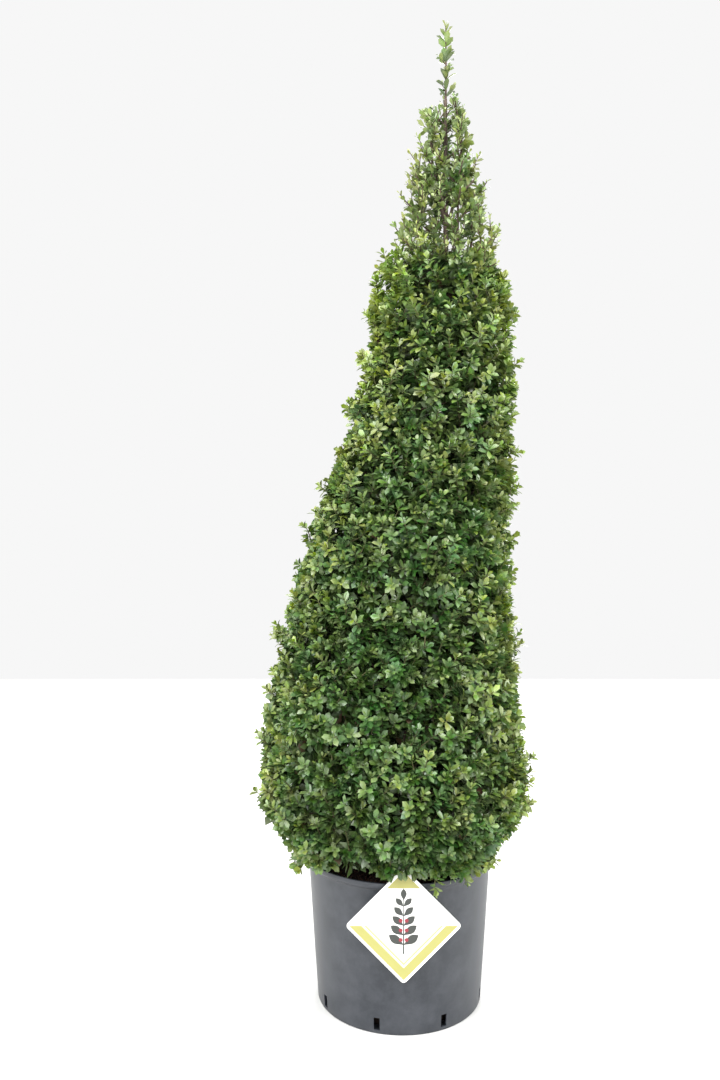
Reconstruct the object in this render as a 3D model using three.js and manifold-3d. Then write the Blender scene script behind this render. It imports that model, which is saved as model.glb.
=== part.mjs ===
// A Japanese holly clipped to a leaning spire, growing in a round black nursery pot.
// Millimetres, +Z up. The origin is the middle of the pot's flat underside, and the front faces -Y.

import * as THREE from "three";
import { mergeVertices } from "three/addons/utils/BufferGeometryUtils.js";
import Module from "manifold-3d";

const wasm = await Module();
wasm.setup();

// Driving dimensions

const GAP = 0.3; // left between neighbouring pieces
const GOLDEN_RATIO = 0.618034;
const GOLDEN_ANGLE = 2.399963;

const POT = {
  height: 250,
  footRadius: 141,
  shoulderRadius: 157,
  rimRadius: 166,
  rimHeight: 15,
  wall: 3,
  floor: 4,
  footEdge: 2,
  sides: 32,
};
const SLOT = { count: 8, firstDegrees: -107, width: 10, height: 20, sill: 6 };
const SOIL = { level: 226, ripple: 2.5, ripples: 5, plinthRadius: 32, sides: 26 };
const LABEL = { side: 129, corner: 6, thickness: 1, middle: 187, tongueWidth: 16, tongueDrop: 18 };

const TRUNK = {
  top: 1560,
  footRadius: 14,
  tipRadius: 2.6,
  flare: 0.75, // extra girth at the soil, as a share of the foot radius
  flareHeight: 45,
  lean: 82,
  rings: 11,
  sides: 8,
};

// The clipped outline of the crown: radius against height round a leaning centre line.
const CROWN = {
  foot: 258,
  skirtRadius: 196,
  girthHeight: 330,
  girthRadius: 244,
  apex: 1604,
  taper: 0.65,
  lowOffset: -18,
  leanFrom: 460,
  leanTo: 1300,
  tip: 1700,
};
const SWEEP = 0.3; // rise of a tier's floor for each millimetre outwards

// Tiers of dense foliage, by the heights where each begins and ends at the crown's surface.
const TIERS = [
  { name: "skirt", from: CROWN.foot, to: 470, sectors: 5, firstDegrees: -126, inner: 40, leafLength: 54 },
  { name: "low", from: 470, to: 710, sectors: 4, firstDegrees: -100, inner: 40, leafLength: 54 },
  { name: "middle", from: 710, to: 960, sectors: 4, firstDegrees: -55, inner: 40, leafLength: 52 },
  { name: "high", from: 960, to: 1290, sectors: 3, firstDegrees: -100, inner: 52, leafLength: 50 },
];
const DENSE = { shell: 11, tipDepth: 1, twigs: 7, stemRadius: 5, stemDrop: 55, bump: 8 };
// Sprigs of the skirt that hang over the pot's rim.
const HANGING = [
  { degrees: 184, height: 232 },
  { degrees: 205, height: 240 },
  { degrees: -57, height: 246 },
];
const HANG = { out: 19, lowest: 200 }; // how far outside the rim they hang, and how low

// Rings of open sprays over the dense foliage, each spray on its own bough.
const RINGS = [
  { name: "lower", from: 1290, to: 1440, sectors: 4, firstDegrees: -72, inner: 12, leafLength: 48 },
  { name: "upper", from: 1440, to: 1560, sectors: 3, firstDegrees: -150, inner: 12, leafLength: 40 },
];
const BOUGH = {
  footRadius: 3.4,
  tipRadius: 2.9,
  rise: 110, // from its foot to its tip
  stagger: 9, // between the feet of neighbours
  endShare: 0.5, // of the crown's radius
  endAbove: 22, // inside its spray's cell
  sides: 6,
  rings: 3,
};
const OPEN = { tipDepth: 12, deepest: 0.5, twigs: 5, stemRadius: 2.9, stemShare: 0.6, stemLeaves: 11 };
const LEADER = { twigs: 3, twigReach: 20, leafLength: 30, stemRadius: 2.4, stemLeaves: 7 };

const TWIG = {
  footRadius: 3,
  tipRadius: 2.4,
  sides: 3,
  rings: 2,
  leaves: 5,
  balance: 0.4, // weight of the way back to the stem's foot
  climb: 0.8, // rise for each millimetre outwards that a twig likes to have
  turnOut: 0.5, // how far a twig turns to its heading
};
const LEAF = {
  width: 0.56,
  thickness: 0.05,
  widest: 0.58,
  cup: 0.06,
  sunk: 1.2,
  tipSunk: 2.5,
  spreadDegrees: [66, 54, 76], // from the twig, the first that has room
  tipSpreadDegrees: 42,
  tipSize: 0.6, // the leaf at a twig's tip is the youngest and smallest
  spacing: 5.5, // along a short twig
  cover: 0.75, // of a long shoot's length
  apart: 0.36, // between leaf middles, as a share of a leaf's length
};
const SHOOTS_RISE = { from: 1050, to: 1300 }; // where shoots turn from outward to upright
const CELL_MARGIN = 2;
const OVERREACH = 18; // how far a leaf's tip may pass the clipped outline

const COLOURS = {
  pot: 0x3f4144,
  soil: 0x3a2a22,
  label: 0xf3f2ea,
  bark: 0x6b5a4c,
  leaf: 0x3f6a2c,
  youngLeaf: 0x6f9440,
};

// Small tools

const { lerp, smoothstep, degToRad } = THREE.MathUtils;

// A repeatable source of numbers from 0 to 1.
function seeded(seed) {
  let state = seed;
  return () => {
    state = (state + 0x6d2b79f5) | 0;
    let mixed = Math.imul(state ^ (state >>> 15), 1 | state);
    mixed = (mixed + Math.imul(mixed ^ (mixed >>> 7), 61 | mixed)) ^ mixed;
    return ((mixed ^ (mixed >>> 14)) >>> 0) / 4294967296;
  };
}

// Moves each vertex of a geometry to where the given function puts it.
function reshape(geometry, place) {
  const position = geometry.getAttribute("position");
  const vertex = new THREE.Vector3();
  for (let i = 0; i < position.count; i++) {
    vertex.fromBufferAttribute(position, i);
    const moved = place(vertex);
    position.setXYZ(i, moved.x, moved.y, moved.z);
  }
  return geometry;
}

function solidOf(geometry) {
  const bare = new THREE.BufferGeometry().setIndex(geometry.index);
  bare.setAttribute("position", geometry.getAttribute("position"));
  const welded = mergeVertices(bare, 1e-3);
  const triVerts = [];
  for (let i = 0; i < welded.index.count; i += 3) {
    const [a, b, c] = welded.index.array.slice(i, i + 3);
    if (a !== b && b !== c && c !== a) triVerts.push(a, b, c);
  }
  const vertProperties = welded.attributes.position.array;
  const mesh = new wasm.Mesh({ numProp: 3, vertProperties, triVerts: new Uint32Array(triVerts) });
  return new wasm.Manifold(mesh);
}

function geometryOf(solid) {
  const mesh = solid.getMesh();
  const geometry = new THREE.BufferGeometry();
  geometry.setAttribute("position", new THREE.BufferAttribute(mesh.vertProperties, 3));
  geometry.setIndex(new THREE.BufferAttribute(mesh.triVerts, 1));
  return geometry;
}

// The largest outer skin of a solid, without sealed hollows and loose scraps.
function wholeOf(solid) {
  return solid.decompose().reduce((best, body) => (body.volume() > best.volume() ? body : best));
}

const fuse = (solids) => wholeOf(solids.reduce((whole, piece) => whole.add(piece)));

function material(color, roughness) {
  return new THREE.MeshStandardMaterial({ color, roughness, metalness: 0 });
}

const holly = new THREE.Group();

function addPiece(name, geometry, finish) {
  const mesh = new THREE.Mesh(geometry, finish);
  mesh.name = name;
  holly.add(mesh);
}

// A lathe whose profile is given as radius and height pairs, standing on Z.
function turned(profile, sides) {
  const points = profile.map(([radius, height]) => new THREE.Vector2(radius, height));
  return new THREE.LatheGeometry(points, sides).rotateX(Math.PI / 2);
}

// A round limb along a curve, with a flat end at each side and a radius that follows its length.
function limb(curve, radiusAt, sides, rings) {
  const frames = curve.computeFrenetFrames(rings);
  return reshape(new THREE.CylinderGeometry(1, 1, 1, sides, rings), (vertex) => {
    const ring = Math.round((vertex.y + 0.5) * rings);
    const radius = radiusAt(ring / rings);
    return curve
      .getPointAt(ring / rings)
      .addScaledVector(frames.binormals[ring], vertex.x * radius)
      .addScaledVector(frames.normals[ring], vertex.z * radius);
  });
}

// The pot, its soil and its label

const rimFoot = POT.height - POT.rimHeight;
const innerFoot = POT.footRadius - POT.wall;
const innerShoulder = POT.shoulderRadius - POT.wall;
const rimInner = POT.rimRadius - 1.3 * POT.wall;

function potSolid() {
  const wall = turned(
    [
      [0, 0],
      [POT.footRadius - POT.footEdge, 0],
      [POT.footRadius, POT.footEdge],
      [POT.shoulderRadius, rimFoot],
      [POT.rimRadius - 1.5, rimFoot + 5],
      [POT.rimRadius, POT.height],
      [rimInner, POT.height],
      [rimInner - 2, rimFoot + 6],
      [innerShoulder, rimFoot - 1],
      [innerFoot, POT.floor],
      [0, POT.floor],
    ],
    POT.sides,
  );
  let solid = solidOf(wall);
  for (let i = 0; i < SLOT.count; i++) {
    const azimuth = degToRad(SLOT.firstDegrees + (360 / SLOT.count) * i);
    const cutter = new THREE.BoxGeometry(6 * POT.wall, SLOT.width, SLOT.height);
    cutter.translate(POT.footRadius, 0, SLOT.sill + SLOT.height / 2).rotateZ(azimuth);
    solid = solid.subtract(solidOf(cutter));
  }
  return solid;
}

// The root ball: packed soil with a rippled top and a flat place in the middle where the trunk stands.
function soilGeometry() {
  const climb = (SOIL.level - POT.floor) / (rimFoot - POT.floor);
  const profile = [
    [0, POT.floor + GAP],
    [innerFoot - 1, POT.floor + GAP],
    [lerp(innerFoot, innerShoulder, climb) - 1, SOIL.level],
    [0.66 * innerShoulder, SOIL.level],
    [SOIL.plinthRadius, SOIL.level],
    [0, SOIL.level],
  ];
  return reshape(turned(profile, SOIL.sides), (vertex) => {
    const radius = Math.hypot(vertex.x, vertex.y);
    const onTop = vertex.z > SOIL.level - GAP && radius > SOIL.plinthRadius + 1;
    const turn = Math.atan2(vertex.y, vertex.x) * SOIL.ripples;
    return vertex.setZ(vertex.z + (onTop ? SOIL.ripple * Math.sin(turn + radius / 20) : 0));
  });
}

// A square card hung on one corner, with a tongue that hooks over the pot's rim.
function labelSolid() {
  const half = LABEL.side / 2;
  const corner = LABEL.corner;
  const outline = new THREE.Shape();
  outline.moveTo(corner - half, -half);
  outline.lineTo(half - corner, -half);
  outline.quadraticCurveTo(half, -half, half, corner - half);
  outline.lineTo(half, half - corner);
  outline.quadraticCurveTo(half, half, half - corner, half);
  outline.lineTo(corner - half, half);
  outline.quadraticCurveTo(-half, half, -half, half - corner);
  outline.lineTo(-half, corner - half);
  outline.quadraticCurveTo(-half, -half, corner - half, -half);
  const front = -POT.rimRadius - 1;
  const pressed = { depth: LABEL.thickness, bevelEnabled: false, curveSegments: 3 };
  const card = new THREE.ExtrudeGeometry(outline, pressed);
  card.rotateZ(Math.PI / 4).rotateX(Math.PI / 2).translate(0, front, LABEL.middle);

  const back = -innerShoulder + 4;
  const crest = POT.height + GAP;
  const { thickness, tongueDrop } = LABEL;
  const tongue = new THREE.Shape();
  tongue.moveTo(front - thickness / 2, crest);
  tongue.lineTo(front - thickness / 2, crest + 9);
  tongue.lineTo(back - 4, crest + thickness);
  tongue.lineTo(back + thickness, crest - 4);
  tongue.lineTo(back + thickness, crest - tongueDrop);
  tongue.lineTo(back, crest - tongueDrop);
  tongue.lineTo(back, crest - 4);
  tongue.lineTo(back - 4.5, crest);
  const strip = new THREE.ExtrudeGeometry(tongue, { depth: LABEL.tongueWidth, bevelEnabled: false });
  strip.translate(0, 0, -LABEL.tongueWidth / 2);
  reshape(strip, (vertex) => new THREE.Vector3(vertex.z, vertex.x, vertex.y));
  return fuse([solidOf(card), solidOf(strip)]);
}

// The trunk and the crown's outline

const leanAt = (height) => smoothstep(height, CROWN.leanFrom, CROWN.leanTo);
const trunkCentre = (height) => TRUNK.lean * leanAt(height);
const crownCentre = (height) => lerp(CROWN.lowOffset, TRUNK.lean, leanAt(height));

function trunkRadius(height) {
  const climb = (height - SOIL.level) / (TRUNK.top - SOIL.level);
  const flare = TRUNK.flare * Math.exp((SOIL.level - height) / TRUNK.flareHeight);
  return lerp(TRUNK.footRadius, TRUNK.tipRadius, climb) + TRUNK.footRadius * flare;
}

// The trunk from a flat cut on the soil to its tip, with every ring slid along the lean.
function trunkGeometry(grow) {
  const foot = SOIL.level + GAP;
  const profile = [[0, foot]];
  for (let ring = 0; ring <= TRUNK.rings; ring++) {
    const height = lerp(foot, TRUNK.top, (ring / TRUNK.rings) ** 1.4);
    profile.push([trunkRadius(height) + grow, height]);
  }
  profile.push([0, TRUNK.top]);
  return reshape(turned(profile, TRUNK.sides), (vertex) => vertex.setX(vertex.x + trunkCentre(vertex.z)));
}

function crownRadius(height) {
  if (height > CROWN.girthHeight) {
    const left = Math.max(CROWN.apex - height, 1) / (CROWN.apex - CROWN.girthHeight);
    return CROWN.girthRadius * left ** CROWN.taper;
  }
  const drop = Math.min((CROWN.girthHeight - height) / (CROWN.girthHeight - CROWN.foot), 1);
  return lerp(CROWN.girthRadius, CROWN.skirtRadius, drop ** 1.8);
}

// The skirt's underside is level, and the tiers above it slope more and more.
const sweepAt = (height) => SWEEP * smoothstep(height, CROWN.foot, TIERS[0].to);

// A place in the crown is its height at the surface, its azimuth and its depth under the surface.
function crownPoint(height, azimuth, depth) {
  const radius = crownRadius(height) - depth;
  const z = height - sweepAt(height) * depth;
  return new THREE.Vector3(crownCentre(z) + radius * Math.cos(azimuth), radius * Math.sin(azimuth), z);
}

function crownPlace(point) {
  const x = point.x - crownCentre(point.z);
  const radius = Math.hypot(x, point.y);
  let height = point.z;
  for (let pass = 0; pass < 8; pass++) {
    height = point.z + sweepAt(height) * (crownRadius(height) - radius);
  }
  return { height, azimuth: Math.atan2(point.y, x), radius, depth: crownRadius(height) - radius };
}

// A cell is the space of one mass: a band of heights and a sector of azimuths outside an inner radius.
function insideCell(cell, point) {
  const place = crownPlace(point);
  const turn = place.azimuth - cell.azimuth;
  const offAxis = Math.abs(Math.atan2(Math.sin(turn), Math.cos(turn)));
  return (
    place.height > cell.floor + CELL_MARGIN &&
    place.height < cell.to - CELL_MARGIN &&
    offAxis < cell.halfAngle - CELL_MARGIN / place.radius &&
    place.radius > cell.inner &&
    place.depth > -OVERREACH
  );
}

// Foliage keeps clear of the pot's rim, the label, the trunk and the boughs.
function clearOfPot(point) {
  const overRim = point.z > POT.height + 6 || Math.hypot(point.x, point.y) > POT.rimRadius + 4;
  const fromCardMiddle = Math.abs(point.x) + Math.abs(point.z - LABEL.middle);
  const overCard = fromCardMiddle < LABEL.side * 0.8 && Math.abs(point.y + POT.rimRadius) < 26;
  return overRim && !overCard;
}

const boughMarks = [];

function clearOfLimbs(point) {
  const fromTrunk = Math.hypot(point.x - trunkCentre(point.z), point.y) - trunkRadius(point.z);
  if (point.z < TRUNK.top && fromTrunk < CELL_MARGIN) return false;
  return boughMarks.every((mark) => mark.distanceTo(point) > BOUGH.footRadius + 2 * CELL_MARGIN);
}

// Twigs and leaves

// A twig leaves its foot towards its tip and turns to its heading on the way.
function twigTo(foot, tip, heading) {
  const length = foot.distanceTo(tip);
  const straight = foot.clone().lerp(tip, 0.5);
  const turning = tip.clone().addScaledVector(heading, -length / 2);
  return new THREE.QuadraticBezierCurve3(foot, straight.lerp(turning, TWIG.turnOut), tip);
}

// Shoots end pointing outwards and up, more so near the top, and those below the skirt point down.
function shootHeading(tip) {
  const outward = new THREE.Vector3(tip.x - crownCentre(tip.z), tip.y, 0).normalize();
  const upright = lerp(0.5, 2.2, smoothstep(tip.z, SHOOTS_RISE.from, SHOOTS_RISE.to));
  return outward.setZ(tip.z < CROWN.foot ? -1.2 : upright).normalize();
}

// The growth rule: each tip joins the tree at the node with the shortest climbing way from the stem's foot.
function growTwigs(stem, tips) {
  const stemLength = stem.getLength();
  const nodes = [0.2, 0.4, 0.6, 0.8].map((t) => ({ point: stem.getPointAt(t), path: t * stemLength }));
  const foot = stem.getPointAt(0);
  const nearestFirst = [...tips].sort((a, b) => a.distanceTo(foot) - b.distanceTo(foot));
  return nearestFirst.map((tip) => {
    const wayTo = ({ point, path }) => {
      const drop = TWIG.climb * Math.hypot(tip.x - point.x, tip.y - point.y) - (tip.z - point.z);
      return point.distanceTo(tip) + TWIG.balance * path + Math.max(drop, 0);
    };
    const parent = nodes.reduce((best, node) => (wayTo(node) < wayTo(best) ? node : best));
    const twig = twigTo(parent.point, tip, shootHeading(tip));
    nodes.push({ point: twig.getPointAt(0.55), path: parent.path + 0.55 * twig.getLength() });
    return twig;
  });
}

// One leaf: a flat eight-faced blade, widest past its middle and slightly cupped.
function leafGeometry(root, direction, face, length) {
  const normal = face.clone().addScaledVector(direction, -face.dot(direction)).normalize();
  const side = new THREE.Vector3().crossVectors(direction, normal);
  const basis = new THREE.Matrix4().makeBasis(side, direction, normal).setPosition(root);
  const blade = reshape(new THREE.OctahedronGeometry(1), (vertex) => {
    const onRim = Math.abs(vertex.x);
    const along = vertex.y === 0 ? LEAF.widest : (vertex.y + 1) / 2;
    const lift = LEAF.cup * onRim + (LEAF.thickness / 2) * vertex.z;
    return new THREE.Vector3((LEAF.width / 2) * vertex.x, along, lift).multiplyScalar(length);
  });
  return blade.applyMatrix4(basis);
}

// A leaf at a distance back from a twig's tip, springing from the middle of one of its three sides.
function leafAt(twig, back, side, spreadDegrees, length) {
  const t = 1 - back / twig.getLength();
  const frames = twig.computeFrenetFrames(TWIG.rings);
  const ring = Math.round(t * TWIG.rings);
  const tangent = frames.tangents[ring];
  const turn = ((2 * side + 1) * Math.PI) / TWIG.sides;
  const outward = frames.binormals[ring].clone().multiplyScalar(Math.sin(turn));
  outward.addScaledVector(frames.normals[ring], Math.cos(turn));
  const atTip = back === 0;
  const spread = degToRad(atTip ? LEAF.tipSpreadDegrees : spreadDegrees);
  const direction = tangent.clone().multiplyScalar(Math.cos(spread));
  direction.addScaledVector(outward, Math.sin(spread));
  const root = twig.getPointAt(t).addScaledVector(direction, atTip ? -LEAF.tipSunk : -LEAF.sunk);
  return leafGeometry(root, direction, atTip ? outward : tangent, length * (atTip ? LEAF.tipSize : 1));
}

// The leaves of one twig: one at its tip and the others back along it, on each side in turn.
function leavesOn(twig, count, spacing, length, keeps, random) {
  const blades = [];
  const start = Math.floor(random() * TWIG.sides);
  const room = Math.min(count, Math.floor((0.85 * twig.getLength()) / spacing));
  for (let k = 0; k < room; k++) {
    const size = length * lerp(0.88, 1.1, random());
    const tries = LEAF.spreadDegrees.flatMap((spread) =>
      [0, 1, 2].map((step) => leafAt(twig, k * spacing, (start + k + step) % TWIG.sides, spread, size)),
    );
    const kept = tries.find(keeps);
    if (kept) blades.push(kept);
  }
  return blades;
}

function everyVertex(geometry, test) {
  const position = geometry.getAttribute("position");
  const vertex = new THREE.Vector3();
  for (let i = 0; i < position.count; i++) {
    if (!test(vertex.fromBufferAttribute(position, i))) return false;
  }
  return true;
}

function middleOf(geometry) {
  geometry.computeBoundingSphere();
  return geometry.boundingSphere.center;
}

// Accepts a leaf that has room and isn't crowded by the ones already accepted.
function leafKeeper(leafLength, hasRoom) {
  const middles = [];
  return (blade) => {
    const middle = middleOf(blade);
    const uncrowded = middles.every((other) => other.distanceTo(middle) > LEAF.apart * leafLength);
    const kept = uncrowded && everyVertex(blade, hasRoom);
    if (kept) middles.push(middle);
    return kept;
  };
}

const twigRadius = (t) => lerp(TWIG.footRadius, TWIG.tipRadius, t);
const twigSolid = (twig) => solidOf(limb(twig, twigRadius, TWIG.sides, TWIG.rings));

const roomIn = (cell) => (point) => insideCell(cell, point) && clearOfPot(point) && clearOfLimbs(point);

const hasRoomAlong = (twig, hasRoom) => [0.6, 0.8, 1].every((t) => hasRoom(twig.getPointAt(t)));

// Leaves of a dense mass also stay outside its core.
const roomOver = (cell) => (point) =>
  roomIn(cell)(point) && (crownPlace(point).depth < DENSE.shell + 1 || point.z < cell.from);

// Tips spread evenly over a cell by the golden ratio, at depths given by the height and a share.
function tipsOver(cell, count, depthAt, random) {
  const tips = [];
  for (let k = 0; k < count; k++) {
    const across = (k + 0.5) / count;
    const up = (0.35 + k * GOLDEN_RATIO) % 1;
    const azimuth = cell.azimuth + cell.halfAngle * lerp(-0.84, 0.84, across);
    const height = lerp(cell.from, cell.to, lerp(0.08, 0.9, up));
    tips.push(crownPoint(height, azimuth, depthAt(height, random())));
  }
  return tips;
}

// Masses of foliage

// The heart of a dense mass: a rounded, bumpy block that fills its cell under the leafy shell.
function coreGeometry(cell) {
  const roundness = 18;
  return reshape(new THREE.BoxGeometry(2, 2, 2, 1, 4, 4), (vertex) => {
    const norm = vertex.toArray().reduce((sum, v) => sum + Math.abs(v) ** roundness, 0);
    const [outward, across, up] = vertex.multiplyScalar(0.995 / norm ** (1 / roundness)).toArray();
    const height = lerp(cell.from, cell.to, (up + 1) / 2);
    const wave = Math.sin(5.3 * across + 0.09 * height) * Math.cos(4.1 * up + 3 * cell.azimuth);
    const deepest = crownRadius(height) - cell.inner;
    const depth = lerp(deepest, DENSE.shell + DENSE.bump * wave, (outward + 1) / 2);
    const halfAngle = cell.halfAngle - CELL_MARGIN / 3 / (crownRadius(height) - depth);
    return crownPoint(height, cell.azimuth + across * halfAngle, depth);
  });
}

// A notch in the skirt's core, in which the label's top corner stands.
function labelNotch() {
  const top = LABEL.middle + LABEL.side / Math.SQRT2 + 2;
  const reach = top - CROWN.foot;
  const block = new THREE.BoxGeometry(2 * reach + 8, 100, 2 * reach);
  return solidOf(block.translate(0, -POT.rimRadius - 44, CROWN.foot));
}

// A mass's stem, from inside the trunk out to the middle of its cell.
function denseStem(cell) {
  const middle = (cell.from + cell.to) / 2;
  const end = crownPoint(middle, cell.azimuth, 2 * DENSE.shell);
  const footHeight = Math.max(end.z - DENSE.stemDrop - 0.35 * crownRadius(middle), POT.height + 24);
  const foot = new THREE.Vector3(trunkCentre(footHeight), 0, footHeight);
  return twigTo(foot, end, shootHeading(end));
}

// The hanging sprigs that fall in a cell's sector.
function hangingTips(cell) {
  const reach = POT.rimRadius + HANG.out;
  return HANGING.map(({ degrees, height }) => {
    const azimuth = degToRad(degrees);
    return new THREE.Vector3(reach * Math.cos(azimuth), reach * Math.sin(azimuth), height);
  }).filter((tip) => insideCell(cell, tip));
}

// A dense mass has short leafy twigs standing out of its core.
function denseMass(cell, seed, trunkCutter) {
  const random = seeded(seed);
  const stem = denseStem(cell);
  const stemRadius = (t) => DENSE.stemRadius * lerp(1, 0.6, t);
  const nearSurface = (height, share) => DENSE.tipDepth * lerp(0.85, 1.15, share);
  const tips = [...tipsOver(cell, DENSE.twigs, nearSurface, random), ...hangingTips(cell)];
  const twigs = growTwigs(stem, tips).filter((twig) => hasRoomAlong(twig, roomIn(cell)));
  const keeps = leafKeeper(cell.leafLength, roomOver(cell));
  const blades = twigs.flatMap((twig) => {
    return leavesOn(twig, TWIG.leaves, LEAF.spacing, cell.leafLength, keeps, random);
  });
  const core = solidOf(coreGeometry(cell)).subtract(labelNotch());
  const limbs = [solidOf(limb(stem, stemRadius, 4, 3)), ...twigs.map(twigSolid)];
  return wholeOf(fuse([core, ...limbs, ...blades.map(solidOf)]).subtract(trunkCutter));
}

// An open shoot carries leaves all the way along, and so do its side twigs.
function openShoot(stem, twigs, shape, keeps, random) {
  const shoots = [stem, ...twigs];
  const blades = shoots.flatMap((shoot) => {
    const leaves = shoot === stem ? shape.stemLeaves : TWIG.leaves;
    const spacing = (LEAF.cover * shoot.getLength()) / leaves;
    return leavesOn(shoot, leaves, spacing, shape.leafLength, keeps, random);
  });
  const stemRadius = (t) => lerp(shape.stemRadius, TWIG.tipRadius, t);
  const stemSolid = solidOf(limb(stem, stemRadius, TWIG.sides, TWIG.rings));
  return fuse([stemSolid, ...twigs.map(twigSolid), ...blades.map(solidOf)]);
}

function openSpray(cell, stem, seed) {
  const random = seeded(seed);
  const anyDepth = (height, share) => lerp(OPEN.tipDepth, OPEN.deepest * crownRadius(height), share);
  const tips = tipsOver(cell, OPEN.twigs, anyDepth, random);
  const twigs = growTwigs(stem, tips).filter((twig) => hasRoomAlong(twig, roomIn(cell)));
  const shape = { ...OPEN, leafLength: cell.leafLength };
  return openShoot(stem, twigs, shape, leafKeeper(cell.leafLength, roomIn(cell)), random);
}

// The leader goes on from the trunk's tip to the top of the plant, with a few short side twigs.
function leaderSpray() {
  const foot = new THREE.Vector3(trunkCentre(TRUNK.top), 0, TRUNK.top + GAP);
  const tip = foot.clone().setZ(CROWN.tip - LEADER.leafLength * LEAF.tipSize);
  const stem = new THREE.LineCurve3(foot, tip);
  const twigs = Array.from({ length: LEADER.twigs }, (_, k) => {
    const reach = LEADER.twigReach * (1 - 0.15 * k);
    const turn = k * GOLDEN_ANGLE;
    const joint = stem.getPointAt(0.1 + (0.6 * k) / LEADER.twigs);
    const rise = new THREE.Vector3(reach * Math.cos(turn), reach * Math.sin(turn), 1.5 * reach);
    return twigTo(joint, joint.clone().add(rise), new THREE.Vector3(0, 0, 1));
  });
  const hasRoom = (point) => point.z > TRUNK.top + CELL_MARGIN && point.z < CROWN.tip;
  return openShoot(stem, twigs, LEADER, leafKeeper(LEADER.leafLength, hasRoom), seeded(977));
}

// Boughs

// The cells of a tier or ring, side by side round the crown. Sprigs of the lowest tier may hang below it.
const cellsOf = (band) =>
  Array.from({ length: band.sectors }, (_, i) => ({
    ...band,
    name: `${band.name}_${i + 1}`,
    floor: band.from === CROWN.foot ? HANG.lowest : band.from,
    azimuth: degToRad(band.firstDegrees + (360 / band.sectors) * i),
    halfAngle: Math.PI / band.sectors,
    turn: (2 * i) % band.sectors,
  }));

// A bough rises from inside the trunk, each lower than its neighbours, and ends where its spray begins.
function boughCurve(cell) {
  const height = cell.from + BOUGH.endAbove;
  const end = crownPoint(height, cell.azimuth, crownRadius(height) * (1 - BOUGH.endShare));
  const footHeight = end.z - BOUGH.rise - BOUGH.stagger * cell.turn;
  const foot = new THREE.Vector3(trunkCentre(footHeight), 0, footHeight);
  return twigTo(foot, end, new THREE.Vector3(0, 0, 1));
}

// The spray's own stem goes on from its bough's tip towards the top of its cell.
function sprayStem(bough, cell) {
  const heading = bough.getTangentAt(1);
  const foot = bough.getPointAt(1).addScaledVector(heading, GAP);
  const height = lerp(cell.from, cell.to, 0.8);
  const tip = crownPoint(height, cell.azimuth, crownRadius(height) * (1 - OPEN.stemShare));
  const bend = foot.clone().addScaledVector(heading, foot.distanceTo(tip) * 0.45);
  return new THREE.QuadraticBezierCurve3(foot, bend, tip);
}

const boughRadius = (t) => lerp(BOUGH.footRadius, BOUGH.tipRadius, t);

// Assembly

addPiece("pot", geometryOf(potSolid()), material(COLOURS.pot, 0.55));
addPiece("soil", soilGeometry(), material(COLOURS.soil, 0.95));
addPiece("plant_label", geometryOf(labelSolid()), material(COLOURS.label, 0.5));

const bark = material(COLOURS.bark, 0.85);
const leafGreen = material(COLOURS.leaf, 0.45);
const youngGreen = material(COLOURS.youngLeaf, 0.45);
const trunkCutter = solidOf(trunkGeometry(GAP));
addPiece("trunk", trunkGeometry(0), bark);

TIERS.flatMap(cellsOf).forEach((cell, i) => {
  addPiece(`foliage_${cell.name}`, geometryOf(denseMass(cell, i + 1, trunkCutter)), leafGreen);
});

const sprayCells = RINGS.flatMap(cellsOf);
for (const cell of sprayCells) boughMarks.push(...boughCurve(cell).getSpacedPoints(12));
sprayCells.forEach((cell, i) => {
  const bough = boughCurve(cell);
  const wholeLimb = solidOf(limb(bough, boughRadius, BOUGH.sides, BOUGH.rings));
  addPiece(`bough_${cell.name}`, geometryOf(wholeOf(wholeLimb.subtract(trunkCutter))), bark);
  const spray = openSpray(cell, sprayStem(bough, cell), 100 + i);
  addPiece(`spray_${cell.name}`, geometryOf(spray), youngGreen);
});
addPiece("leader_spray", geometryOf(leaderSpray()), youngGreen);

export default holly;
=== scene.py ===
import math

import bpy
import numpy as np
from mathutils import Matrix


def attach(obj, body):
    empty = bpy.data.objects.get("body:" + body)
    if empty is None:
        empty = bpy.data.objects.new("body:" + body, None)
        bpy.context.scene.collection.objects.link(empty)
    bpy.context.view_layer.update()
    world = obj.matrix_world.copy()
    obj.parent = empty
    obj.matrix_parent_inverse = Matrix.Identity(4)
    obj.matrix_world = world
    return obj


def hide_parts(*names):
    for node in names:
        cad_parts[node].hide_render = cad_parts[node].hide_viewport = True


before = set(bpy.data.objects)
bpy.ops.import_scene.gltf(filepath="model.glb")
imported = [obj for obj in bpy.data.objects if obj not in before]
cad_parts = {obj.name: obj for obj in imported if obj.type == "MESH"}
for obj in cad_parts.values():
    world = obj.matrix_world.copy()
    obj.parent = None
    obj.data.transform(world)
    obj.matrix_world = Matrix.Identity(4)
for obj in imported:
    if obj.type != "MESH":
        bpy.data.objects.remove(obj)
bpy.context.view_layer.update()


# The studio: a pale floor in white light from all round, with a large soft lamp overhead and weaker ones
# in front, at the sides and at the back. The camera stands level in front, a little left of the pot's axis.

MM = 0.001
CAMERA_PLACE = (-68 * MM, -1520 * MM, 788 * MM)
CAMERA_LENS = 28.93
CAMERA_FRAME = 36  # along the picture's height
FLOOR_REACH = 3400
FLOOR_DROP = 0.2  # under the pot's flat underside, so that the two never share a plane
FLOOR_COLOUR = "#d6d6d4"
AIR_COLOUR = "#ffffff"
AIR_STRENGTH = 0.93
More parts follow.
